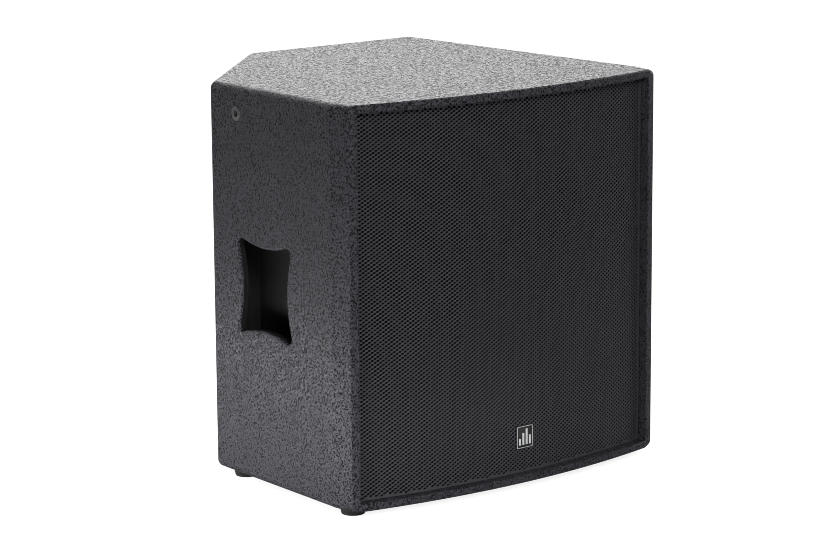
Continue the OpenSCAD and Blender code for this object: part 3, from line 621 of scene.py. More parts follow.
def woven(name, thread, color, gap_shade_and_wear_color, roughness, sheen):
    """Plain weave of threads that many millimetres apart, in the driver's plane."""
    f = Finish(name, color, roughness, Sheen_Weight=sheen)
    over = f.math("MAXIMUM", f.wave(thread, "X", 0.3), f.wave(thread, "Z", 0.3))
    # The gaps' dark colour is painted shade between the threads; the worn patches also darken towards it.
    cloth = f.mix(f.steps(over, 0.35, 0.85), gap_shade_and_wear_color, color)
    worn = f.steps(f.noise(9), *MIDDLE_BAND, 0.0, 0.35)
    f.set(Base_Color=f.mix(worn, cloth, gap_shade_and_wear_color))
    f.bump(over, 0.12, 0.7)
    return f.material


def pressed_paper():
    """Cone pulp: short fibres pressed flat under a thin coat."""
    f = Finish("paper_cone", (0.022, 0.022, 0.024), 0.68)
    fibre = f.noise(2.6, 5.0, 0.7, 2.2)
    pulp = f.noise(0.5, 2.0, 0.6)
    tones = (0.013, 0.013, 0.015), (0.038, 0.038, 0.041)
    under = f.mottled(fibre, (0.35, 0.65), tones, pulp, (0.55, 0.8), 0.05, 0.5)
    f.bump(fibre, 0.12, 0.8, under)
    return f.material


def fibre_laminate():
    """Amber glass-fibre laminate with its cloth showing through."""
    f = Finish("former_glass_fibre", (0.45, 0.30, 0.12), 0.35, Coat_Weight=0.3)
    cloth = f.math("MAXIMUM", f.wave(0.9, "Z"), f.wave(0.9, "Y"))
    f.set(Base_Color=f.mix(cloth, (0.30, 0.18, 0.06), (0.52, 0.37, 0.17)))
    f.bump(cloth, 0.03, 0.5)
    return f.material


def ground_ferrite():
    """Ground magnet ferrite with faint smears."""
    f = Finish("ferrite", (0.05, 0.05, 0.055), 0.5)
    grit = f.noise(0.7, 3.0, 0.7)
    smear = f.noise(30, 3.0, 0.6, 0.5, f.stretched(1, 0.3, 1))
    tones = (0.035, 0.035, 0.038), (0.075, 0.075, 0.08)
    f.mottled(smear, MIDDLE_BAND, tones, grit, (0.38, 0.66), 0.05, 0.7)
    return f.material


def polyester_wadding():
    """Loose white fibres, tangled in every direction, grey between the strands as painted shade."""
    f = Finish("wadding", (0.72, 0.71, 0.67), 0.95, Sheen_Weight=0.4)
    strands = f.noise(3.5, 6.0, 0.75, 3.0)
    tufts = f.noise(22, 3.0, 0.6, 0.8)
    # Grey where the strands' relief is low: painted shade between the fibres.
    fibre = f.mix(f.steps(strands, 0.3, 0.65), (0.42, 0.41, 0.38), (0.82, 0.81, 0.77))
    f.set(Base_Color=f.mix(f.steps(tufts, 0.3, 0.6), (0.5, 0.49, 0.46), fibre))
    f.bump(strands, 1.1, 0.9)
    return f.material


def rubber():
    """Matt rubber with mould bloom."""
    f = Finish("black_rubber", (0.012, 0.012, 0.012), 0.66)
    grain = f.noise(0.45, 2.0, 0.6)
    bloom = f.noise(7, 3.0, 0.6)
    tones = (0.009, 0.009, 0.009), (0.022, 0.022, 0.021)
    f.mottled(bloom, (0.4, 0.7), tones, grain, (0.58, 0.8), 0.05, 0.6)
    return f.material


PAINT = structured_paint()
RAW_SIDE = plywood("birch_ply_upright", "X")
RAW_BRACE = plywood("birch_ply_cross", "Y")
RAW_FLAT = plywood("birch_ply_flat", "Z")
BLACK_PLY = painted_ply()
GRILLE_STEEL = coated_steel("grille_steel", (0.068, 0.066, 0.076), 0.38)
FOAM = open_foam()
SPRING = bare_metal("spring_steel", (0.55, 0.55, 0.57), 0.28, 0.4, (1, 1, 0.1))
BADGE_BLACK = moulded("badge_plate", (0.012, 0.012, 0.013), 0.25, 0.8, 0.01)
BADGE_PALE = moulded("badge_marks", (0.92, 0.92, 0.92), 0.35, 0.8, 0.01, 0.03)
CASTING = cast_metal()
RUBBER = rubber()
GASKET = moulded("gasket_rubber", (0.018, 0.018, 0.018), 0.8, 0.7, 0.12)
CLOTH = woven("treated_cloth", 0.9, (0.030, 0.030, 0.031), (0.009, 0.009, 0.009), 0.45, 0.0)
PAPER = pressed_paper()
FORMER = fibre_laminate()
COPPER = bare_metal("copper_wire", (0.80, 0.40, 0.20), 0.25, 0.6, (1, 1, 1), 0.15)
BRAID = bare_metal("tinned_braid", (0.78, 0.55, 0.38), 0.38, 0.5, (1, 1, 1), 0.3)
SPIDER = woven("spider_cloth", 0.8, (0.60, 0.43, 0.20), (0.30, 0.19, 0.07), 0.75, 0.2)
ZINC = bare_metal("zinc_plated_steel", (0.60, 0.61, 0.62), 0.34, 0.6, (1, 0.3, 1))
FERRITE = ground_ferrite()
PLASTIC = moulded("black_plastic", (0.016, 0.016, 0.017), 0.48, 0.6, 0.05)
RED_PLASTIC = moulded("red_plastic", (0.42, 0.02, 0.015), 0.38, 0.6, 0.02)
BLACK_STEEL = coated_steel("black_steel", (0.018, 0.018, 0.019), 0.38, 0.4)
SOCKET_PLASTIC = moulded("socket_plastic", (0.013, 0.014, 0.02), 0.36, 0.5, 0.02)
RED_SLEEVE = moulded("red_insulation", (0.38, 0.012, 0.012), 0.42, 1.6, 0.03)
BLACK_SLEEVE = moulded("black_insulation", (0.012, 0.012, 0.012), 0.42, 1.6, 0.03)
WADDING = polyester_wadding()
DULL_STEEL = bare_metal("dull_steel", (0.30, 0.30, 0.31), 0.45, 0.5, (1, 1, 1), 0.3)


# ---------- Painted boards ----------


def bare_inside(bm, inner_z):
    """Leave the level face at inner_z unpainted behind the baffle, as material 1."""
    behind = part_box("baffle")[1].y
    faces = [f for f in bm.faces if all(abs(v.co.z - inner_z) < 0.01 * MM for v in f.verts)]
    edges = {e for f in faces for e in f.edges}
    verts = {v for f in faces for v in f.verts}
    cut = bmesh.ops.bisect_plane(
        bm, geom=faces + list(edges) + list(verts), plane_co=(0, behind, 0), plane_no=(0, 1, 0)
    )
    for face in cut["geom"]:
        if isinstance(face, bmesh.types.BMFace) and face.calc_center_median().y > behind:
            face.material_index = 1


def end_board(name, face_z, inner_z):
    """Top or bottom board: the sides' rounded edge runs out to the front, whose edge is crisper."""
    out = math.copysign(1, face_z - inner_z)
    front = RAIL_FRONT[:-1] + FRONT_ARC + mirrored(RAIL_FRONT)[1:]
    in_opening = [abs(p.x) < HALF_OPENING - MM for p in front]
    corners = {name: arc for name, arc in PLAN.items() if not name.endswith("front")}

    def front_corner(arc, side_cut, front_cut):
        """A front corner's small arc moved in by the side's cut and the front's."""
        side = math.copysign(1, arc[0].x)
        slant = math.atan2(HALF_W - HALF_FRONT, BEND_Y - CHORD_Y)
        inwards = side_cut / math.cos(slant) + front_cut * math.tan(slant)
        return [p + Vector((-side * inwards, front_cut)) for p in arc]

    def layer(side_cut, side_drop, front_cut, front_drop, lip_cut):
        """One ring: cuts are insets in the plan, drops are heights below the board's face.

        On the rails both change evenly from the side's to the front's.
        """
        right = [(p, side_drop) for p in front_corner(PLAN["right_front"], side_cut, front_cut)]
        left = [(p, side_drop) for p in front_corner(PLAN["left_front"], side_cut, front_cut)]
        walls = [p for arc in corners.values() for p in arc]
        whole = PLAN["right_front"] + walls + PLAN["left_front"] + front
        moved = inset(whole, side_cut)[len(PLAN["right_front"]) :][: len(walls)]
        cuts = [front_cut + lip_cut * lipped for lipped in in_opening]
        facade = [(p + Vector((0, cut)), front_drop) for p, cut in zip(front, cuts)]
        for start, first, way in ((left[-1], 0, 1), (right[0], -1, -1)):
            inner = facade[first + way * RAIL_STEPS]
            for k, share in enumerate(spread(0, 1, RAIL_STEPS + 1)[1:-1]):
                drop = start[1] + (inner[1] - start[1]) * share
                facade[first + way * k] = (start[0].lerp(inner[0], share), drop)
        ring = right + [(p, side_drop) for p in moved] + left + facade
        return [(p.x, p.y, face_z - out * drop) for p, drop in ring]

    rings = []
    for sine, cosine in quarter(3):
        base = PANEL - OPENING_LIP * (1 - cosine)
        rings.append(layer(0, PANEL, 0, base, OPENING_LIP * (1 - sine)))
    for sine, cosine in quarter(8):
        cut, drop = 1 - cosine, 1 - sine
        rings.append(layer(EDGE_R * cut, EDGE_R * drop, FRONT_EDGE_R * cut, FRONT_EDGE_R * drop, 0))
    bm = bmesh.new()
    stacked(bm, rings)
    bare_inside(bm, inner_z)
    weigh_normals(add_object(name, mesh_of(bm, name), PAINT, RAW_FLAT))


def longest(chain):
    """Index of a chain's longest straight run."""
    return max(range(len(chain) - 1), key=lambda i: (chain[i + 1] - chain[i]).length)


def wall_board(name, outer, inner, raw, openings=()):
    """An upright board from its plan, with openings in its longest faces.

    An opening is its centre in the plan, its height and its rings as (outline, depth), whose last
    step, the plain wall behind the lip, is matt black as painted shade inside the opening.
    """
    low, high = BOTTOM_INNER_Z, TOP_INNER_Z
    bm = bmesh.new()
    plan = outer + inner
    floor = [bm.verts.new((p.x, p.y, low)) for p in plan]
    roof = [bm.verts.new((p.x, p.y, high)) for p in plan]
    front = longest(outer)
    back = len(outer) + longest(inner) if len(inner) > 1 else None
    start = outer[front]
    along = (outer[front + 1] - start).normalized()
    out = Vector((along.y, -along.x))
    mouths, ends = [], []
    for position, height, layers in openings:
        distance = (position - start).dot(along)
        rings = []
        for outline, depth in layers:
            spots = [start + along * (distance + p.x) - out * depth for p in outline]
            ring = [(spot.x, spot.y, height + p.y) for spot, p in zip(spots, outline)]
            rings.append([bm.verts.new(point) for point in ring])
        # The wall behind the lip gets matt black (material 2) as painted shade inside the opening.
        for a, b in zip(rings, rings[1:]):
            bridge(bm, a, b, 2 if b is rings[-1] else 0)
        mouths.append(rings[0])
        ends.append(rings[-1])
    for i in range(len(plan)):
        j = (i + 1) % len(plan)
        material = 1 if i >= len(outer) - 1 and i < len(plan) - 1 and raw else 0
        quad = [floor[i], floor[j], roof[j], roof[i]]
        if openings and i == front:
            fill(bm, [quad] + mouths)
        elif openings and i == back:
            fill(bm, [quad] + ends, 1)
        else:
            cap(bm, quad, material)
    cap(bm, floor, 1 if raw else 0)
    cap(bm, roof, 1 if raw else 0)
    # BLACK_PLY on the openings' inner walls is painted shade.
    finishes = [PAINT, raw, BLACK_PLY] if raw else [PAINT]
    weigh_normals(add_object(name, mesh_of(bm, name), *finishes))


def lip_rings(outline, radius, depth, steps=5):
    """Rings of an opening with a rounded lip, down to a depth."""
    rings = []
    for sine, cosine in quarter(steps):
        rings.append((inset(outline, -radius * (1 - sine)), radius * (1 - cosine)))
    return rings + [(outline, depth)]


TIP_HALF = Vector((59, 61)) * MM  # centres of the hand hole's four rounded tips
TIP_R = 9 * MM
SIDE_BOW_IN, TOP_BOW_OUT = 1 * MM, 0.5 * MM
HAND_LIP = 4 * MM


def hand_hole():
    """Outline of the hand hole: four rounded tips joined by four bowed-in sides."""

    def bow_radius(span, rise):
        return (span**2 + rise**2 - TIP_R**2) / (2 * (TIP_R - rise))

    def arc(centre, radius, start, end):
        return [polar(centre, radius, t) for t in spread(start, end, 10)]

    top_r, side_r = bow_radius(TIP_HALF.x, TOP_BOW_OUT), bow_radius(TIP_HALF.y, -SIDE_BOW_IN)
    top_c = Vector((0, TIP_HALF.y + TOP_BOW_OUT + top_r))
    side_c = Vector((TIP_HALF.x - SIDE_BOW_IN + side_r, 0))
    to_side, to_top = side_c - TIP_HALF, top_c - TIP_HALF
    side = arc(side_c, side_r, math.pi, heading(-to_side))[:-1]
    tip = arc(TIP_HALF, TIP_R, heading(to_side), heading(to_top))[:-1]
    top = arc(top_c, top_r, heading(-to_top), -math.pi / 2)
    quadrant = side + tip + top
    upper = quadrant + [Vector((-p.x, p.y)) for p in reversed(quadrant[:-1])]
    return upper + [Vector((-p.x, -p.y)) for p in upper[1:-1]]


INSERT_FLANGE_R, INSERT_FLANGE_T = 12 * MM, 2.5 * MM
INSERT_BARREL_R, INSERT_BARREL_H = 6.5 * MM, 20 * MM


def insert_rings():
    """The insert's bore with its flange's rebate."""
    wide = ellipse(INSERT_FLANGE_R, INSERT_FLANGE_R, 48)
    narrow = ellipse(INSERT_BARREL_R, INSERT_BARREL_R, 48)
    rebate = lip_rings(wide, 0.6 * MM, INSERT_FLANGE_T, 3)
    return rebate + [(narrow, INSERT_FLANGE_T), (narrow, PANEL)]


dish_low, dish_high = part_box("connector_dish")
DISH = (dish_low + dish_high) / 2
DISH_W, DISH_H = dish_high.x - dish_low.x, dish_high.z - dish_low.z
TUB_W, TUB_H, TUB_DEPTH = 153 * MM, 93 * MM, dish_high.y - dish_low.y
DISH_CORNER_R, TUB_CORNER_R = 12 * MM, 16 * MM
REBATE, CLEAR = 4.5 * MM, 0.5 * MM


def dish_rings():
    """The dish's opening with its flange's rebate."""
    flange = rounded_rect(DISH_W + 2 * CLEAR, DISH_H + 2 * CLEAR, DISH_CORNER_R + CLEAR)
    tub = rounded_rect(TUB_W + 2 * CLEAR, TUB_H + 2 * CLEAR, TUB_CORNER_R + CLEAR)
    rebate = lip_rings(flange, 0.8 * MM, REBATE, 3)
    return rebate + [(tub, REBATE), (tub, PANEL)]


HANDLE_Y, HANDLE_Z = CHORD_Y + 207 * MM, BOTTOM_Z + 293 * MM
insert_low, insert_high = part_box("rigging_insert_left")
INSERT_Y, INSERT_Z = CHORD_Y + 274 * MM, (insert_low.z + insert_high.z) / 2


def side_openings(side):
    """The hand hole and the rigging insert's bore; side is -1 for left and 1 for right."""
    handle = Vector((side * side_x(HANDLE_Y), HANDLE_Y))
    insert = Vector((side * side_x(INSERT_Y), INSERT_Y))
    grip = lip_rings(hand_hole(), HAND_LIP, PANEL)
    return [(handle, HANDLE_Z, grip), (insert, INSERT_Z, insert_rings())]


end_board("top_panel", TOP_Z, TOP_INNER_Z)
end_board("bottom_panel", BOTTOM_Z, BOTTOM_INNER_Z)

wall_board(
    "left_side_panel",
    between("corner", "left_bend"),
    [LEFT_BEND_INNER, CORNER_INNER],
    RAW_SIDE,
    side_openings(-1),
)
wall_board(
    "right_side_panel",
    between("right_bend", "right_back"),
    [RIGHT_BACK_INNER, RIGHT_BEND_INNER],
    RAW_SIDE,
    side_openings(1),
)
corner_inside = [CORNER_INNER, LEFT_BACK_INNER]
wall_board("corner_panel", between("left_back", "corner"), corner_inside, RAW_SIDE)
wall_board(
    "rear_panel",
    between("right_back", "left_back"),
    [LEFT_BACK_INNER, RIGHT_BACK_INNER],
    RAW_BRACE,
    [(Vector((DISH.x, BACK_Y)), DISH.z, dish_rings())],
)

rail_inner_back = Vector((-HALF_OPENING, BEND_Y))
rail_lip = fillet(RAIL_FRONT[-2], RAIL_FRONT[-1], rail_inner_back, OPENING_LIP, 4)
left_rail = PLAN["left_bend"][HALF_ARC:] + PLAN["left_front"] + RAIL_FRONT[:-1] + rail_lip
left_rail.append(rail_inner_back)
wall_board("front_rail_left", left_rail, [], None)
wall_board("front_rail_right", mirrored(left_rail), [], None)


# ---------- Grille, foam and badge ----------

grille_low, grille_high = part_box("grille")
foam_low, foam_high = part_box("grille_foam")
GRILLE_R = FRONT_CENTRE_Y - grille_low.y
GRILLE_T = foam_low.y - grille_low.y
HALF_SHEET = grille_high.x
FOLD_R = 2.0 * MM
FLANGE = 13 * MM
HOLE_W, HOLE_H = 5.4 * MM, 3.4 * MM
PITCH = 5.94 * MM  # from hole to hole up a column
COLUMN_STEP = 4.47 * MM
COLUMN_RISE = 2.60 * MM  # how much higher the next column's holes sit, to the right
HOLE_SIDES = 12


def sheet_end():
    """Arc length from the middle to where the sheet's edge starts to fold back."""
    half_angle = math.asin(HALF_SHEET / GRILLE_R)
    for _ in range(6):  # converges well below a micrometre
        half_angle = math.asin((HALF_SHEET - FOLD_R * (1 - math.sin(half_angle))) / GRILLE_R)
    return half_angle * GRILLE_R


SHEET_END = sheet_end()
FOLD_LENGTH = FOLD_R * (math.pi / 2 - SHEET_END / GRILLE_R)


def on_sheet(u, z, depth=0.0):
    """From arc length across the grille and height to space; depth goes into the cabinet."""
    side, s = math.copysign(1, u), abs(u)
    angle = min(s, SHEET_END) / GRILLE_R
    if s <= SHEET_END:
        r = GRILLE_R - depth
        return Vector((side * r * math.sin(angle), FRONT_CENTRE_Y - r * math.cos(angle), z))
    centre_x = (GRILLE_R - FOLD_R) * math.sin(angle)
    centre_y = FRONT_CENTRE_Y - (GRILLE_R - FOLD_R) * math.cos(angle)
    turn = angle + min(s - SHEET_END, FOLD_LENGTH) / FOLD_R
    x = centre_x + (FOLD_R - depth) * math.sin(turn)
    y = centre_y - (FOLD_R - depth) * math.cos(turn)
    return Vector((side * x, y + max(s - SHEET_END - FOLD_LENGTH, 0.0), z))


class Sheet:
    """A flat layout of polygons that becomes a closed sheet of metal bent to the grille's bow."""

    def __init__(self):
        self.index, self.points, self.faces = {}, [], []

    def point(self, u, z):
        key = (round(u * 1e7), round(z * 1e7))
        if key not in self.index:
            self.index[key] = len(self.points)
            self.points.append((u, z))
        return self.index[key]

    def face(self, *corners):
        self.faces.append([self.point(u, z) for u, z in corners])

    def mesh(self, name):
        count = len(self.points)
        edges = {}
        for face in self.faces:
            for a, b in zip(face, face[1:] + face[:1]):
                edges[(a, b)] = edges.get((b, a), 0) + 1
        border = [(a, b) for (a, b) in edges if (b, a) not in edges]
        verts = [on_sheet(u, z) for u, z in self.points]
        verts += [on_sheet(u, z, GRILLE_T) for u, z in self.points]
        faces = list(self.faces)
        faces += [[i + count for i in reversed(face)] for face in self.faces]
        faces += [[b, a, a + count, b + count] for a, b in border]
        mesh = bpy.data.meshes.new(name)
        mesh.from_pydata([tuple(v) for v in verts], [], faces)
        return smoothed(mesh, 40)


def grille_strips(names):
    """The perforated sheet as upright strips: columns of oval holes up to its folded edges."""
    slant = (COLUMN_RISE - PITCH / 2) / COLUMN_STEP
    columns = 2 * int((SHEET_END - COLUMN_STEP * 2 / 3) / COLUMN_STEP) + 1
    margin = 0.6 * PITCH
    middle = (grille_low.z + grille_high.z) / 2
    sheets = [Sheet() for _ in names]
    oval = ellipse(HOLE_W / 2, HOLE_H / 2, HOLE_SIDES)

    def hole(i, j):
        u = (i - (columns - 1) / 2) * COLUMN_STEP
        return u, middle + slant * u + PITCH * (j + (i % 2) / 2)

    def corner(i, j, k):
        """Corner k of the cell round hole j of column i, anticlockwise from the right."""
        u, z = hole(i, j)
        du = COLUMN_STEP * 2 / 3 * math.cos(math.pi / 3 * k)
        return u + du, z + slant * du + PITCH / math.sqrt(3) * math.sin(math.pi / 3 * k)

    def top(i):
        return math.floor((grille_high.z - margin - hole(i, 0)[1]) / PITCH)

    def bottom(i):
        return math.ceil((grille_low.z + margin - hole(i, 0)[1]) / PITCH)

    def summit(i, end, right, left, up):
        """The last corner that the cells of columns i and i + 1 share, at their top or bottom."""
        if i < 0:
            return corner(0, end(0), left)
        if i == columns - 1:
            return corner(i, end(i), right)
        own, other = hole(i, end(i))[1], hole(i + 1, end(i + 1))[1]
        if (own - other) * up > 0:
            return corner(i, end(i), right)
        return corner(i + 1, end(i + 1), left)

    def close(sheet, i, end, right, left, edge_z, up):
        """The plain metal between a column's last cell and the sheet's edge."""
        first, last = summit(i - 1, end, right, left, up), summit(i, end, right, left, up)
        path = [(first[0], edge_z), first, corner(i, end(i), left), corner(i, end(i), right), last]
        path.append((last[0], edge_z))
        kept = [p for k, p in enumerate(path) if k == 0 or math.dist(p, path[k - 1]) > 1e-7]
        sheet.face(*kept[::up])

    for i in range(columns):
        sheet = sheets[i * len(sheets) // columns]
        for j in range(bottom(i), top(i) + 1):
            u, z = hole(i, j)
            for k in range(6):
                rim = [oval[(2 * k + m) % HOLE_SIDES] for m in (2, 1, 0)]
                inner = [(u + p.x, z + p.y) for p in rim]
                sheet.face(corner(i, j, k), corner(i, j, k + 1), *inner)
        close(sheet, i, top, 1, 2, grille_high.z, 1)
        close(sheet, i, bottom, 5, 4, grille_low.z, -1)
    fold = spread(SHEET_END, SHEET_END + FOLD_LENGTH, 4)
    fold.append(SHEET_END + FOLD_LENGTH + FLANGE - FOLD_R)
    for sheet, side, i, edge, over, under in (
        (sheets[0], -1, 0, 3, 2, 4),
        (sheets[-1], 1, columns - 1, 0, 1, 5),
    ):
        rows = range(bottom(i), top(i) + 1)
        tips = [corner(i, j, edge) for j in rows]
        for j, (tip, next_tip) in zip(rows, zip(tips, tips[1:])):
            sheet.face(*[tip, next_tip, corner(i, j, over)][::side])
        high, low = corner(i, top(i), over), corner(i, bottom(i), under)
        edge_u = tips[0][0]
        sheet.face(*[high, tips[-1], (edge_u, grille_high.z), (high[0], grille_high.z)][::side])
        sheet.face(*[(low[0], grille_low.z), (edge_u, grille_low.z), tips[0], low][::side])
        across = [abs(edge_u)] + fold
        heights = [grille_low.z] + [tip[1] for tip in tips] + [grille_high.z]
        for a, b in zip(heights, heights[1:]):
            for c, d in zip(across, across[1:]):
                corners = [(side * c, a), (side * d, a), (side * d, b), (side * c, b)]
                sheet.face(*corners[::side])
    for name, sheet in zip(names, sheets):
        add_object(name, sheet.mesh(name), GRILLE_STEEL, replaces="grille")


grille_strips(["grille_far_left", "grille_mid_left", "grille_mid_right", "grille_far_right"])


def slab(name, across, up, low, high, opening=None, sharp=60):
    """A closed soft sheet between the points low(u, v) and high(u, v), u and v from 0 to 1.

    opening(u, v) is below zero in a cut-out.
    """
    row, stride = up + 1, (across + 1) * (up + 1)
    corners = [(i / across, j / up) for i in range(across + 1) for j in range(up + 1)]
    bm = bmesh.new()
    points = [bm.verts.new(surface(u, v)) for surface in (low, high) for u, v in corners]
    cells = {(i, j): i * row + j for i in range(across) for j in range(up)}
    if opening:
        middles = {(i, j): ((i + 0.5) / across, (j + 0.5) / up) for i, j in cells}
        cells = {cell: first for cell, first in cells.items() if opening(*middles[cell]) > 0}
    for (i, j), first in cells.items():
        quad = [first, first + row, first + row + 1, first + 1]
        faces = [quad[::-1], [k + stride for k in quad]]
        for k, beside in enumerate([(i, j - 1), (i + 1, j), (i, j + 1), (i - 1, j)]):
            if beside not in cells:
                a, b = quad[k], quad[(k + 1) % 4]
                faces.append([a, b, b + stride, a + stride])
        for face in faces:
            bm.faces.new([points[k] for k in face])
    unused = [p for p in bm.verts if not p.link_faces]
    bmesh.ops.delete(bm, geom=unused, context="VERTS")
    return mesh_of(bm, name, sharp)


FOAM_GRID, FOAM_GRAIN = 110, 6.25 * MM


def foam_sheet():
    """Foam glued behind the grille, with a rough face where it shows."""
    half = foam_high.x
    thick = GRILLE_R - GRILLE_T - (FRONT_CENTRE_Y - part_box("grille_batten_top")[0].y)

    def surface(depth, rough):
        def at(u, v):
            x, z = (2 * u - 1) * half, foam_low.z + (foam_high.z - foam_low.z) * v
            sink = rough * (1 + noise.noise(Vector((x, z, depth)) / FOAM_GRAIN)) / 2
            radius = GRILLE_R - GRILLE_T - depth - sink
            return (x, FRONT_CENTRE_Y - math.sqrt(radius**2 - x**2), z)

        return at

    rough_front, smooth_back = surface(0.1 * MM, 0.8 * MM), surface(thick - 0.2 * MM, 0)
    mesh = slab("grille_foam", FOAM_GRID, FOAM_GRID, rough_front, smooth_back)
    add_object("grille_foam", mesh, FOAM)


foam_sheet()

badge_low, badge_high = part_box("badge")
BADGE_T = 1.4 * MM
BARS = (10 * MM, 18 * MM, 24 * MM, 14 * MM)
BAR_W, BAR_STEP, BAR_FOOT = 3.5 * MM, 6.5 * MM, -12 * MM
BORDER_W, BORDER_MARGIN, BORDER_H = 0.7 * MM, 1.6 * MM, 0.35 * MM
SINK = 0.1 * MM  # how deep the raised marks start inside the plate


def over_sheet(centre, outline, height):
    """An outline that many metres in front of the grille."""
    return [on_sheet(centre.x + p.x, centre.y + p.y, -height) for p in outline]


def badge_part(bm, outline, base, top, edge, centre, material):
    """A plate on the grille with a rounded upper edge; heights are in front of the sheet."""
    rings = [over_sheet(centre, outline, base)]
    for sine, cosine in quarter(3):
        eased = inset(outline, edge * (1 - cosine))
        rings.append(over_sheet(centre, eased, top - edge * (1 - sine)))
    stacked(bm, rings, material)


def badge():
    """Small plate with four plain bars like a level meter's, and a fine raised border."""
    width, height = badge_high.x - badge_low.x, badge_high.z - badge_low.z
    centre = Vector(((badge_low.x + badge_high.x) / 2, (badge_low.z + badge_high.z) / 2))
    bm = bmesh.new()
    badge_part(bm, rounded_rect(width, height, 2.5 * MM, 6), 0, BADGE_T, 0.5 * MM, centre, 0)
    outer = rounded_rect(width - 2 * BORDER_MARGIN, height - 2 * BORDER_MARGIN, 1.8 * MM, 6)
    inner = inset(outer, BORDER_W)
    foot, crest = BADGE_T - SINK, BADGE_T - SINK + BORDER_H
    loops = []
    for outline, level in ((outer, foot), (outer, crest), (inner, crest), (inner, foot)):
        loops.append([bm.verts.new(p) for p in over_sheet(centre, outline, level)])
    for a, b in zip(loops, loops[1:] + loops[:1]):
        bridge(bm, a, b, 1)
    for i, bar in enumerate(BARS):
        middle = centre + Vector((BAR_STEP * (i - 1.5), BAR_FOOT + bar / 2))
        outline = rounded_rect(BAR_W, bar, 0.6 * MM, 4)
        badge_part(bm, outline, foot, BADGE_T + 0.5 * MM, 0.2 * MM, middle, 1)
    add_object("badge", mesh_of(bm, "badge", 30), BADGE_BLACK, BADGE_PALE)


badge()


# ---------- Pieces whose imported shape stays: eased edges and their finish ----------


def finish(name, material, ease, steps):
    """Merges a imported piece's flat facets, rounds its sharp edges a little and gives its finish."""
    piece = nodes[name]
    piece.data.materials.clear()
    piece.data.materials.append(material)
    weld = piece.modifiers.new("weld", "WELD")
    weld.merge_threshold = 0.01 * MM
    facets = piece.modifiers.new("flat_faces", "DECIMATE")
    facets.decimate_type = "DISSOLVE"
    facets.angle_limit = math.radians(0.4)
    bevel = piece.modifiers.new("eased_edges", "BEVEL")
    bevel.width, bevel.segments = ease * MM, steps
    bevel.limit_method, bevel.angle_limit = "ANGLE", math.radians(32)
    piece.data.shade_smooth()
    smooth = piece.modifiers.new("normals", "WEIGHTED_NORMAL")
    smooth.keep_sharp, smooth.weight = False, 100
    slot_of(material)


# Piece, finish, ease of its edges in millimetres, and steps across the ease
EASED = (
    ("baffle", BLACK_PLY, 0.8, 2),
    ("window_brace", RAW_BRACE, 1.5, 3),
    ("handle_pocket_left", BLACK_PLY, 0.6, 2),
    ("handle_pocket_right", BLACK_PLY, 0.6, 2),
    ("grille_batten_top", BLACK_PLY, 0.6, 2),
    ("grille_batten_bottom", BLACK_PLY, 0.6, 2),
    ("grille_springs", SPRING, 0.15, 2),
    ("driver_gasket", GASKET, 0.3, 2),
    ("driver_basket", CASTING, 1.2, 3),
    ("surround_clamp_ring", PLASTIC, 0.6, 3),
    ("voice_coil_former", FORMER, 0.1, 2),
    ("top_plate", ZINC, 0.6, 3),
    ("magnet", FERRITE, 1.5, 3),
    ("back_plate", ZINC, 1.5, 3),
    ("driver_screws", BLACK_STEEL, 0.25, 2),
    ("tee_nuts", ZINC, 0.25, 2),
    ("dish_gasket", GASKET, 0.2, 2),
    ("dish_screws", BLACK_STEEL, 0.12, 2),
    ("input_socket", SOCKET_PLASTIC, 0.3, 3),
    ("link_socket", SOCKET_PLASTIC, 0.3, 3),
    ("socket_screws", BLACK_STEEL, 0.12, 2),
    ("foot_screws", ZINC, 0.2, 2),
)
for packed in EASED:
    finish(*packed)


# ---------- Driver ----------

CONE_R, COIL_R, CONE_DEPTH = 186, 51.3, 94  # in millimetres, as all turned profiles
CONE_FRONT_T, CONE_NECK_T = 2.6, 3.2
LEDGE_Z, CLOTH_T, PLEAT_H, GLUE_T = 4, 0.8, 5, 0.02
SURROUND_OUT, SURROUND_LEDGE = 205, 214
SPIDER_Z, SPIDER_OUT = -110, 104


def cone_z(r):
    """Height of the cone's front face at a radius."""
    return (r - CONE_R) * CONE_DEPTH / (CONE_R - COIL_R)


def in_metres(profile):
    return [(r * MM, z * MM) for r, z in profile]


def turned(name, profile, material, segments, closed=True, sharp=38):
    """A piece that moves with the cone, turned about its axis from a profile in millimetres."""
    mesh = lathe(name, in_metres(profile), on_driver, segments, closed, sharp)
    add_object(name, mesh, material, body=DIAPHRAGM)


def cone():
    """Straight-sided paper cone with three pressed stiffening ribs and a rolled outer edge."""
    ribs, rib_w, rib_h = (92, 122, 152), 2.2, 0.9

    def rib(r):
        return sum(rib_h * math.exp(-(((r - at) / rib_w) ** 2)) for at in ribs)

    radii = spread(COIL_R, CONE_R - 0.8, 90)
    front = [(r, cone_z(r) + rib(r)) for r in radii]
    edge = [(CONE_R - 0.2, -0.5), (CONE_R, -1.3), (CONE_R - 0.2, -2.1)]
    slope = (CONE_NECK_T - CONE_FRONT_T) / (CONE_R - COIL_R)
    back = [(r, cone_z(r) - CONE_FRONT_T - slope * (CONE_R - r) + rib(r)) for r in reversed(radii)]
    turned("cone", front + edge + back, PAPER, 160)


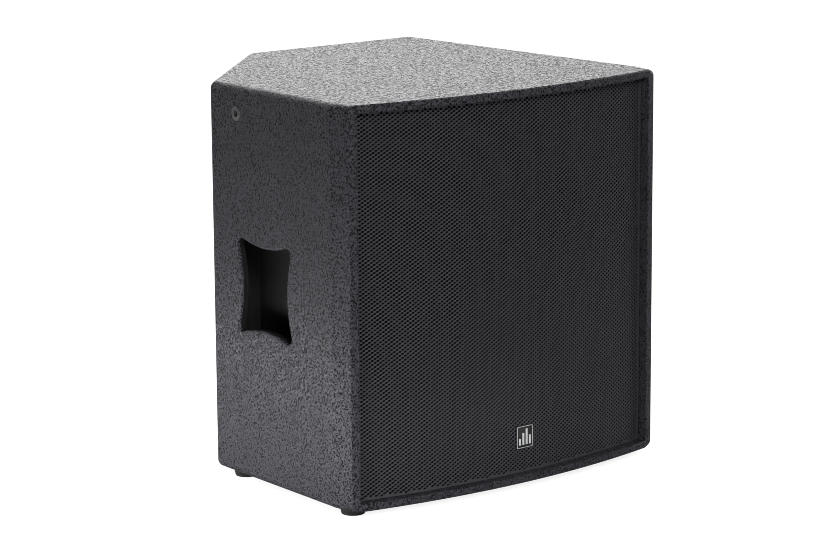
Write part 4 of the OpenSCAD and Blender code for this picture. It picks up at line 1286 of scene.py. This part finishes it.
def dust_cap():
    """Pressed dome with a narrow glued lip that lies on the cone."""
    cap_r, rise, wall, lip = 68, 23, 1.3, 3
    ball = (cap_r**2 + rise**2) / (2 * rise)
    centre = cone_z(cap_r) + rise - ball
    turn = 0.985 * math.asin(cap_r / ball)

    def dome(radius):
        """From the axis outwards, just short of the lip."""
        arc = [(radius * math.sin(t), centre + radius * math.cos(t)) for t in spread(0, turn, 30)]
        return [(0.0, arc[0][1])] + arc[1:]

    lip_r = cap_r + lip
    foot = [(cap_r + 0.4, cone_z(cap_r) + 1.0), (lip_r - 0.3, cone_z(lip_r) + 0.9)]
    foot += [(lip_r, cone_z(lip_r) + 0.5), (lip_r - 0.2, cone_z(lip_r) + 0.1)]
    foot += [(cap_r - 0.5, cone_z(cap_r - 0.5) + 0.1)]
    turned("dust_cap", dome(ball) + foot + dome(ball - wall)[::-1], PAPER, 128, closed=False)


def voice_coil_winding():
    """Round wire laid turn by turn round the former."""
    low, high, wire = -151, -129, 0.55
    inside, valley, crown = COIL_R + 0.02, COIL_R + 0.8, 0.3
    profile = [(inside, low), (valley, low)]
    for turn in range(int((high - low) / wire)):
        for t in (0, 0.25, 0.5, 0.75):
            bulge = valley + crown * (1 + math.sin(math.pi * t))
            profile.append((bulge, low + wire * (turn + t)))
    profile += [(valley, high), (inside, high)]
    turned("voice_coil_winding", profile, COPPER, 96, sharp=60)


def flexing(name, mesh, material, share):
    """A soft piece between frame and cone; share(x, y, z) of the stroke, in the driver's frame."""
    piece = add_object(name, mesh, material, body=None)
    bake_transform(piece, CABINET, DIAPHRAGM, start=on_driver(0, 0, -0.1), end=on_driver(0, 0, 0.1))
    weights = piece.data.attributes["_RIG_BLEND"].data
    for vertex, weight in zip(piece.data.vertices, weights):
        x, y, z = vertex.co.x, vertex.co.z - DRIVER_Z, DRIVER_Y - vertex.co.y
        weight.value = min(max(share(x, y, z), 0.0), 1.0)


def radial_share(inner, outer):
    """Full stroke inside one radius, none outside another, in millimetres."""

    def share(x, y, z):
        t = (math.hypot(x, y) / MM - inner) / (outer - inner)
        t = min(max(t, 0.0), 1.0)
        return 1 - t * t * (3 - 2 * t)

    return share


def surround():
    """Treated cloth with three pleats, glued to the cone's edge and the basket's ledge."""
    lip, steps = 6, 60
    width = SURROUND_OUT - CONE_R
    glued = spread(CONE_R - lip, CONE_R, 4)[:-1]
    along = [(r, cone_z(r) + GLUE_T) for r in glued]
    for u in spread(0, 1, steps):
        pleat = PLEAT_H * math.sin(3 * math.pi * u) ** 2
        along.append((CONE_R + width * u, LEDGE_Z * u + pleat + GLUE_T * (1 - u)))
    along += [(SURROUND_OUT + 4.5, LEDGE_Z), (SURROUND_LEDGE, LEDGE_Z)]
    profile = along + [(r, z + CLOTH_T) for r, z in reversed(along)]
    mesh = lathe("surround", in_metres(profile), on_driver, 180, sharp=60)
    flexing("surround", mesh, CLOTH, radial_share(CONE_R, SURROUND_OUT))


def spider():
    """Corrugated cloth disc with flat rims on the former and on the basket's ledge."""
    flat, waves, steps, height = 5, 5.5, 110, 2.4
    inner, outer = COIL_R + flat, SPIDER_OUT - flat
    along = [(COIL_R, SPIDER_Z), (COIL_R + flat / 2, SPIDER_Z)]
    for u in spread(0, 1, steps):
        wave = height * math.sin(2 * math.pi * waves * u)
        along.append((inner + (outer - inner) * u, SPIDER_Z + wave))
    along += [(SPIDER_OUT - flat / 2, SPIDER_Z), (SPIDER_OUT, SPIDER_Z)]
    profile = along + [(r, z + CLOTH_T) for r, z in reversed(along)]
    mesh = lathe("spider", in_metres(profile), on_driver, 128, sharp=60)
    flexing("spider", mesh, SPIDER, radial_share(inner, outer))


TERMINAL_TURN, TERMINAL_R, TERMINAL_OFFSET = math.radians(22.5), 118, 9
BLOCK, BLOCK_BACK, POST_BACK = Vector((12, 32, 14)), -128, -134


def at_terminals(x, y, z):
    """From the terminal block's turned frame, in millimetres, to the row frame."""
    c, s = math.cos(TERMINAL_TURN), math.sin(TERMINAL_TURN)
    return on_driver((x * c - y * s) * MM, (x * s + y * c) * MM, z * MM)


def eased_prism(bm, outline, low, high, edge, place, material=0):
    """An outline's prism with rounded upper and lower edges; place(x, y, z) puts it in space."""
    layers = [(edge * (1 - s), low + edge * (1 - c)) for c, s in reversed(quarter(3))]
    layers += [(edge * (1 - c), high - edge * (1 - s)) for s, c in quarter(3)]
    stacked(bm, [[place(p.x, p.y, z) for p in inset(outline, cut)] for cut, z in layers], material)


def driver_terminals():
    """Moulded block with two stepped, nickel-plated push terminals."""
    bm = bmesh.new()
    base = rounded_rect(BLOCK.x * MM, BLOCK.y * MM, 2 * MM, 5)
    outline = [p / MM + Vector((TERMINAL_R, 0)) for p in base]
    eased_prism(bm, outline, BLOCK_BACK, BLOCK_BACK + BLOCK.z, 1.0, at_terminals)
    collar, pin = (4.0, POST_BACK + 2.5, BLOCK_BACK + 0.5), (2.6, POST_BACK, POST_BACK + 3)
    for y in (-TERMINAL_OFFSET, TERMINAL_OFFSET):
        for radius, low, high in (collar, pin):
            post = [p + Vector((TERMINAL_R, y)) for p in ellipse(radius, radius, 28)]
            eased_prism(bm, post, low, high, 0.4, at_terminals, 1)
    add_object("driver_terminals", mesh_of(bm, "driver_terminals", 50), RED_PLASTIC, ZINC)


def eased_path(points, reach, steps=8):
    """A path with its corners rounded over a reach."""
    path = [points[0]]
    for before, corner, after in zip(points, points[1:], points[2:]):
        path += eased_corner(before, corner, after, reach, steps)
    return path + [points[-1]]


def dense(path, step):
    """A path with points added so that none are further apart than step."""
    out = [path[0]]
    for a, b in zip(path, path[1:]):
        count = max(1, math.ceil((b - a).length / step))
        out += [a.lerp(b, k / count) for k in range(1, count + 1)]
    return out


def braid(turn, along):
    """Ripple of a lead braided from eight strands."""
    pairs, depth, lay = 4, 0.07, along / (0.417 * MM)
    return 1 + depth * math.sin(pairs * turn + lay) * math.sin(pairs * turn - lay)


def tinsel_leads():
    """Two braided leads that loop from the terminals to the cone."""
    start_z, bend_z = BLOCK_BACK + BLOCK.z - 0.2, -94
    cone_r, on_cone_z = 93, -72
    bm = bmesh.new()
    for y in (-TERMINAL_OFFSET, TERMINAL_OFFSET):
        corners = [(TERMINAL_R, y, start_z), (TERMINAL_R, y, bend_z), (cone_r, y, on_cone_z)]
        path = dense(eased_path([at_terminals(*p) for p in corners], 9 * MM), 0.8 * MM)
        bm.from_mesh(tube("tinsel", path, 0.9 * MM, 24, braid))
    mesh = mesh_of(bm, "tinsel_leads", 60)

    def share(x, y, z):
        return (z / MM - start_z) / (on_cone_z - start_z)

    flexing("tinsel_leads", mesh, BRAID, share)


cone()
dust_cap()
voice_coil_winding()
surround()
spider()
driver_terminals()
tinsel_leads()


# ---------- Port tubes, connector dish, rigging inserts and feet ----------

PORT_R, PORT_WALL, PORT_LENGTH, PORT_LIP, PORT_LIP_T = 45, 3, 250, 7, 3  # in millimetres
BAFFLE_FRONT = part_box("baffle")[0].y


def port_tube(name):
    """Moulded tube whose mouth is rounded inside and out."""
    low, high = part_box(name)
    centre = Vector(((low.x + high.x) / 2, BAFFLE_FRONT, (low.z + high.z) / 2))
    outside, mouth = PORT_R + PORT_WALL, PORT_R + PORT_LIP
    corners = [(PORT_R, PORT_LIP_T), (PORT_R, -PORT_LENGTH), (outside, -PORT_LENGTH)]
    corners += [(outside, 0), (mouth, 0), (mouth, PORT_LIP_T)]
    profile = rounded_profile(corners, [2.6, 1.4, 1.4, 0, 0.3, 2.2], 6)
    add_object(name, lathe(name, profile, placed(centre, ACROSS, UP, -INTO)), PLASTIC)


for across in ("left", "right"):
    for level in ("upper", "lower"):
        port_tube(f"port_tube_{level}_{across}")

# The dish's holes and walls, in millimetres
SOCKET_X, SOCKET_R, SMALL_SCREW_R, SINK_R, SINK_H = 36, 12.2, 1.9, 3.8, 2.2
SOCKET_SCREW = Vector((9.5, -12))  # from a socket's middle, with another one opposite
DISH_SCREW_INSET = 8.5
DISH_FLANGE_T, TUB_WALL = 3, 3


def circle_at(x, y, radius, steps=24):
    return [p + Vector((x, y)) * MM for p in ellipse(radius * MM, radius * MM, steps)]


def connector_dish():
    """Moulded dish: rounded rim, drafted and filleted tub, bored floor and countersunk holes."""
    bm = bmesh.new()

    def ring(outline, depth):
        return [bm.verts.new((DISH.x + p.x, BACK_Y - depth * MM, DISH.z + p.y)) for p in outline]

    def chain(layers):
        made = [ring(outline, depth) for outline, depth in layers]
        for a, b in zip(made, made[1:]):
            bridge(bm, a, b)
        return made[0], made[-1]

    rim_r, draft, floor_r, base_r, deep = 1.2, 1.5, 4.0, 2.0, TUB_DEPTH / MM
    plate = rounded_rect(DISH_W, DISH_H, DISH_CORNER_R)
    walls = 2 * TUB_WALL * MM
    opening = rounded_rect(TUB_W - walls, TUB_H - walls, TUB_CORNER_R - TUB_WALL * MM)
    rim = [(inset(plate, rim_r * (1 - s) * MM), rim_r * (1 - c)) for c, s in quarter(4)]
    top_edge, flange_edge = chain(rim + [(plate, DISH_FLANGE_T)])
    lip = [(inset(opening, -rim_r * (1 - s) * MM), rim_r * (1 - c)) for s, c in quarter(4)]
    floor = deep - TUB_WALL
    bowl = [
        (inset(opening, (draft + floor_r * (1 - c)) * MM), floor - floor_r * (1 - s))
        for s, c in quarter(5)
    ]
    opening_edge, floor_edge = chain(lip + bowl)
    body = rounded_rect(TUB_W, TUB_H, TUB_CORNER_R)
    base = [(inset(body, base_r * (1 - c) * MM), deep - base_r * (1 - s)) for s, c in quarter(4)]
    under_edge, base_edge = chain([(body, DISH_FLANGE_T)] + base)
    screw_x, screw_z = DISH_W / MM / 2 - DISH_SCREW_INSET, DISH_H / MM / 2 - DISH_SCREW_INSET
    top_holes, under_holes = [], []
    for x in (-1, 0, 1):
        for y in (-1, 1):
            screw = x * screw_x, y * screw_z
            wide, narrow = circle_at(*screw, SINK_R), circle_at(*screw, SMALL_SCREW_R)
            top, under = chain([(wide, 0), (narrow, SINK_H), (narrow, DISH_FLANGE_T)])
            top_holes.append(top)
            under_holes.append(under)
    floor_holes, base_holes = [], []
    for side in (-1, 1):
        holes = [circle_at(side * SOCKET_X, 0, SOCKET_R, 48)]
        for turn in (-1, 1):
            screw = Vector((side * SOCKET_X, 0)) + turn * SOCKET_SCREW
            holes.append(circle_at(*screw, SMALL_SCREW_R))
        for outline in holes:
            inside, outside = chain([(outline, floor), (outline, deep)])
            floor_holes.append(inside)
            base_holes.append(outside)
    fill(bm, [top_edge, opening_edge] + top_holes)
    fill(bm, [flange_edge, under_edge] + under_holes)
    fill(bm, [floor_edge] + floor_holes)
    fill(bm, [base_edge] + base_holes)
    weigh_normals(add_object("connector_dish", mesh_of(bm, "connector_dish"), PLASTIC))


connector_dish()


def rigging_insert(side, name):
    """Turned steel insert: flush flange, barrel and a thread of plain rings with a wide lead-in, black
    inside as painted shade.
    """
    thread_low, thread_high, thread_pitch, mouth_r = 3.4, 4.0, 1.25, 4.9
    flange_r, flange_t = INSERT_FLANGE_R / MM - 0.9, INSERT_FLANGE_T / MM
    barrel_r, length = INSERT_BARREL_R / MM, INSERT_BARREL_H / MM
    outer = [(mouth_r, -0.2), (flange_r - 0.9, -0.2), (flange_r - 0.25, -0.4), (flange_r, -1.0)]
    outer += [(flange_r, -flange_t), (barrel_r, -flange_t), (barrel_r, -length + 0.6)]
    outer += [(barrel_r - 0.6, -length), (thread_high + 0.6, -length)]
    bore = []
    height = -length + 1.0
    while height < -2.4:
        bore += [(thread_low, height), (thread_high, height + thread_pitch / 2)]
        height += thread_pitch
    profile = in_metres(outer + bore + [(thread_high + 0.2, -1.6)])
    centre = Vector((side * side_x(INSERT_Y), INSERT_Y, INSERT_Z))
    along = Vector((-side * math.sin(TAPER), math.cos(TAPER), 0))
    out = Vector((side * math.cos(TAPER), math.sin(TAPER), 0))
    mesh = lathe(name, profile, placed(centre, along, UP, out), 64, sharp=25)
    # The lead-in and thread inside the mouth get black steel as painted shade in the bore.
    for face in mesh.polygons:
        spot = face.center - centre
        if (spot - out * out.dot(spot)).length < (mouth_r + 0.05) * MM:
            face.material_index = 1
    add_object(name, mesh, DULL_STEEL, BLACK_STEEL)


rigging_insert(-1, "rigging_insert_left")
rigging_insert(1, "rigging_insert_right")

FOOT_TOP_R, FOOT_LOW_R, HEAD_WELL_R, HEAD_WELL_H, FOOT_BORE_R = 19, 17, 6.5, 4, 2.1  # millimetres


def foot(name):
    """Moulded rubber foot with a soft shoulder, a tread groove and the screw's well."""
    low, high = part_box(name)
    centre = Vector(((low.x + high.x) / 2, (low.y + high.y) / 2, high.z))
    tall = (high.z - low.z) / MM
    well, groove = HEAD_WELL_H - tall, 0.7 - tall
    corners = [(FOOT_BORE_R, 0), (FOOT_BORE_R, well), (HEAD_WELL_R, well), (HEAD_WELL_R, -tall)]
    corners += [(12.5, -tall), (12.8, groove), (13.8, groove), (14.1, -tall)]
    corners += [(FOOT_LOW_R, -tall), (FOOT_TOP_R, 0)]
    profile = rounded_profile(corners, [0, 0.3, 0.3, 0.5, 0.2, 0.2, 0.2, 0.2, 1.8, 0.6], 4)
    add_object(name, lathe(name, profile, placed(centre, ACROSS, INTO, UP), 64), RUBBER)


for corner in ("front_left", "front_right", "side_left", "rear_left", "rear_right"):
    foot("foot_" + corner)


# ---------- Leads and wadding ----------

LEAD_R = 1.6 * MM
LEAD_LOOP = 130 * MM  # from the rear to where the leads hang


def lead(name, offset, material):
    """Insulated lead from the input socket's back to a driver terminal, hanging a little."""
    low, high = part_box("input_socket")
    start = (low + high) / 2 + Vector((offset * 0.4 * MM, 0, 0))
    start.y = low.y
    end = at_terminals(TERMINAL_R, offset, POST_BACK)
    turn_y = BACK_Y - LEAD_LOOP + offset / 2 * MM
    corners = [start, Vector((start.x, turn_y, start.z)), Vector((end.x, turn_y, start.z))]
    corners += [Vector((end.x, turn_y, end.z)), end]
    path = dense(eased_path(corners, 14 * MM, 10), 2.5 * MM)

    def uneven(turn, along):
        return 1 + 0.015 * math.sin(2 * turn + along / (2.857 * MM))

    add_object(name, tube(name, path, LEAD_R, 20, uneven), material)


lead("lead_positive", TERMINAL_OFFSET, RED_SLEEVE)
lead("lead_negative", -TERMINAL_OFFSET, BLACK_SLEEVE)

WADDING_T, FLUFF = 24 * MM, 5 * MM
WALL_GAP = 1 * MM
EDGE_ROUND = 14 * MM


def pad(name, across, up, at, thick, opening=None):
    """Wadding on a wall: at(u, v, lift) gives points that far off the wall, u and v 0 to 1.

    It thins towards its cut edges, and opening(u, v) is the distance to a cut-out in metres.
    """
    seed = sum(map(ord, name))
    width = (at(1, 0.5, 0) - at(0, 0.5, 0)).length
    height = (at(0.5, 1, 0) - at(0.5, 0, 0)).length

    def rough(u, v, size, shift):
        return noise.noise(Vector((u * width, v * height, seed + shift)) / (size * MM))

    def crown(u, v):
        edge = min(u * width, (1 - u) * width, v * height, (1 - v) * height)
        if opening:
            edge = min(edge, abs(opening(u, v)))
        t = min(edge / EDGE_ROUND, 1.0)
        return math.sqrt(1 - (1 - t) ** 2)

    def wall_side(u, v):
        return at(u, v, 0.9 * MM * (1 - crown(u, v)))

    def open_side(u, v):
        loose = 0.5 + 0.5 * rough(u, v, 38, 3) + 0.35 * rough(u, v, 13, 7)
        top = thick * (0.35 + 0.65 * crown(u, v)) - FLUFF * min(max(loose, 0), 1)
        return at(u, v, top)

    mesh = slab(name, across, up, wall_side, open_side, opening, 70)
    piece = add_object(name, mesh, WADDING)
    soft = piece.modifiers.new("soft", "SUBSURF")
    soft.levels = soft.render_levels = 1


def end_wadding(name, wall_z, into):
    """Wadding on the top or bottom board behind the brace, cut to the box's five-sided plan."""
    low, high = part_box(name)
    left, right = shifted(left_wall, WALL_GAP), shifted(right_wall, WALL_GAP)
    cut = shifted(corner_wall, WALL_GAP)

    def at(u, v, lift):
        y = low.y + (high.y - low.y) * v
        level = line_y(y)
        left_x = max(meet(left, level).x, meet(cut, level).x)
        x = left_x + (meet(right, level).x - left_x) * u
        return Vector((x, y, wall_z + into * (WALL_GAP + lift)))

    pad(name, 60, 28, at, WADDING_T - WALL_GAP)


def rear_wadding():
    """Wadding on the rear panel with a cut-out round the dish."""
    low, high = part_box("damping_rear")
    half_w, half_h = TUB_W / 2 + 4.5 * MM, TUB_H / 2 + 4.5 * MM

    def at(u, v, lift):
        x, z = low.x + (high.x - low.x) * u, low.z + (high.z - low.z) * v
        return Vector((x, high.y - lift, z))

    def opening(u, v):
        spot = at(u, v, 0)
        return max(abs(spot.x - DISH.x) - half_w, abs(spot.z - DISH.z) - half_h)

    pad("damping_rear", 44, 100, at, high.y - low.y - 0.5 * MM, opening)


def corner_wadding():
    """Wadding on the cut corner's panel."""
    low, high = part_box("damping_corner")
    start, end = shifted((LEFT_BACK_INNER, CORNER_INNER), WALL_GAP)
    inward = Vector((start.y - end.y, end.x - start.x)).normalized()
    end_share = 0.11  # left free at either side

    def at(u, v, lift):
        spot = start.lerp(end, end_share + (1 - 2 * end_share) * u) + inward * lift
        return Vector((spot.x, spot.y, low.z + (high.z - low.z) * v))

    pad("damping_corner", 40, 90, at, WADDING_T - 2 * WALL_GAP)


end_wadding("damping_top", TOP_INNER_Z, -1)
end_wadding("damping_bottom", BOTTOM_INNER_Z, 1)
rear_wadding()
corner_wadding()


# ---------- Floor, light and camera ----------

VIEW_AZIMUTH, VIEW_ELEVATION, VIEW_ROLL = -39.17, 11.567, -0.376  # degrees
VIEW_DISTANCE = 4.352
VIEW_LENS, SENSOR = 131.4, 36
AIM = Vector((-0.1788, -0.2768, 0.3384))
WHITE = (1.0, 1.0, 1.0)
FLOOR_GLOW = 0.85
FLOOR_RADII = (1.5, 6.0, 30.0)
ROOM_LIGHT, WALL_LIGHT, CEILING_SHARE = 0.05, 2.2, 0.15
# Name, azimuth and elevation in degrees, distance, side of the square panel, watts
SOFTBOXES = (
    ("back_softbox", 150, 48, 3.2, 1.6, 40),
    ("front_softbox", -28, 28, 3.5, 0.8, 47),
    ("rim_light", 58, 40, 3.0, 0.16, 8),
)
# Long low panels that lift the lower part of a face: name, place, aim, length, watts
REFLECTOR_H = 0.1
REFLECTORS = (
    ("side_reflector", (-HALF_W - 0.32, 0.05, 0.07), (1, 0, 0.05), 1.2, 2.9),
    ("front_reflector", (-0.1, FRONT_Y - 0.2, 0.05), (0, 1, -0.2), 0.7, 0.12),
)


def towards(azimuth, elevation):
    """Unit vector from the object to a viewer at those angles in degrees."""
    a, e = math.radians(azimuth), math.radians(elevation)
    return Vector((math.sin(a) * math.cos(e), -math.cos(a) * math.cos(e), math.sin(e)))


def staged(name, data):
    thing = bpy.data.objects.new(name, data)
    bpy.context.scene.collection.objects.link(thing)
    return thing


def add_camera():
    back = towards(VIEW_AZIMUTH, VIEW_ELEVATION)
    level = Vector((0, 0, 1)).cross(back).normalized()
    roll = math.radians(VIEW_ROLL)
    right = level * math.cos(roll) + back.cross(level) * math.sin(roll)
    data = bpy.data.cameras.new("camera")
    data.lens, data.sensor_width = VIEW_LENS, SENSOR
    data.clip_start, data.clip_end = 0.1, 100
    camera = staged("camera", data)
    turned_axes = Matrix((right, back.cross(right), back)).transposed().to_4x4()
    camera.matrix_world = Matrix.Translation(AIM + back * VIEW_DISTANCE) @ turned_axes
    bpy.context.scene.camera = camera


def add_floor():
    """Plain white floor, bright enough to meet the white background."""
    bm = bmesh.new()
    rings = []
    for radius in FLOOR_RADII:
        rings.append([bm.verts.new((p.x, p.y, 0)) for p in ellipse(radius, radius, 64)])
    cap(bm, rings[0])
    bridge(bm, rings[0], rings[1])
    bridge(bm, rings[1], rings[2])
    floor = staged("floor", mesh_of(bm, "floor"))
    f = Finish("floor_white", (0.5, 0.5, 0.5), 0.85, Emission_Color=WHITE)
    seen = f.node("ShaderNodeLightPath").outputs["Is Camera Ray"]
    f.set(Emission_Strength=f.math("MULTIPLY", seen, FLOOR_GLOW))
    floor.data.materials.append(f.material)


def add_world():
    """Studio surround: a bright wall behind the object, a dimmer room in front, seen as white."""
    world = bpy.data.worlds.new("studio")
    bpy.context.scene.world = world
    world.use_nodes = True
    world.node_tree.nodes.clear()
    w = Nodes(world.node_tree)
    away = -towards(VIEW_AZIMUTH, 0)
    direction = w.node("ShaderNodeTexCoord").outputs["Generated"]
    facing = w.node("ShaderNodeVectorMath", [(0, direction), (1, away)], operation="DOT_PRODUCT")
    height = w.node("ShaderNodeSeparateXYZ", [(0, direction)]).outputs["Z"]
    wall = w.steps(facing.outputs["Value"], 0.3, 0.85, ROOM_LIGHT, WALL_LIGHT)
    light = w.math("MULTIPLY", wall, w.steps(height, 0.1, 0.95, 1.0, CEILING_SHARE))
    seen = w.node("ShaderNodeLightPath").outputs["Is Camera Ray"]
    lit = w.node("ShaderNodeBackground", [("Color", WHITE), ("Strength", light)])
    plain = w.node("ShaderNodeBackground", [("Color", WHITE), ("Strength", 1.0)])
    shown = w.node("ShaderNodeMixShader", [(0, seen), (1, lit.outputs[0]), (2, plain.outputs[0])])
    w.node("ShaderNodeOutputWorld", [("Surface", shown.outputs[0])])


def add_panel(name, place, aim, width, height, power):
    """A rectangular soft light."""
    data = bpy.data.lights.new(name, "AREA")
    data.shape, data.size, data.size_y, data.energy = "RECTANGLE", width, height, power
    light = staged(name, data)
    light.location = place
    light.rotation_euler = (-Vector(aim)).to_track_quat("Z", "Y").to_euler()


add_world()
add_floor()
for name, azimuth, elevation, distance, size, power in SOFTBOXES:
    back = towards(azimuth, elevation)
    add_panel(name, Vector((0, 0, TOP_Z / 2)) + back * distance, -back, size, size, power)
for name, place, aim, length, power in REFLECTORS:
    add_panel(name, place, aim, length, REFLECTOR_H, power)
add_camera()
bpy.context.scene.view_settings.view_transform = "Standard"
bpy.context.scene.cycles.filter_width = 0.9
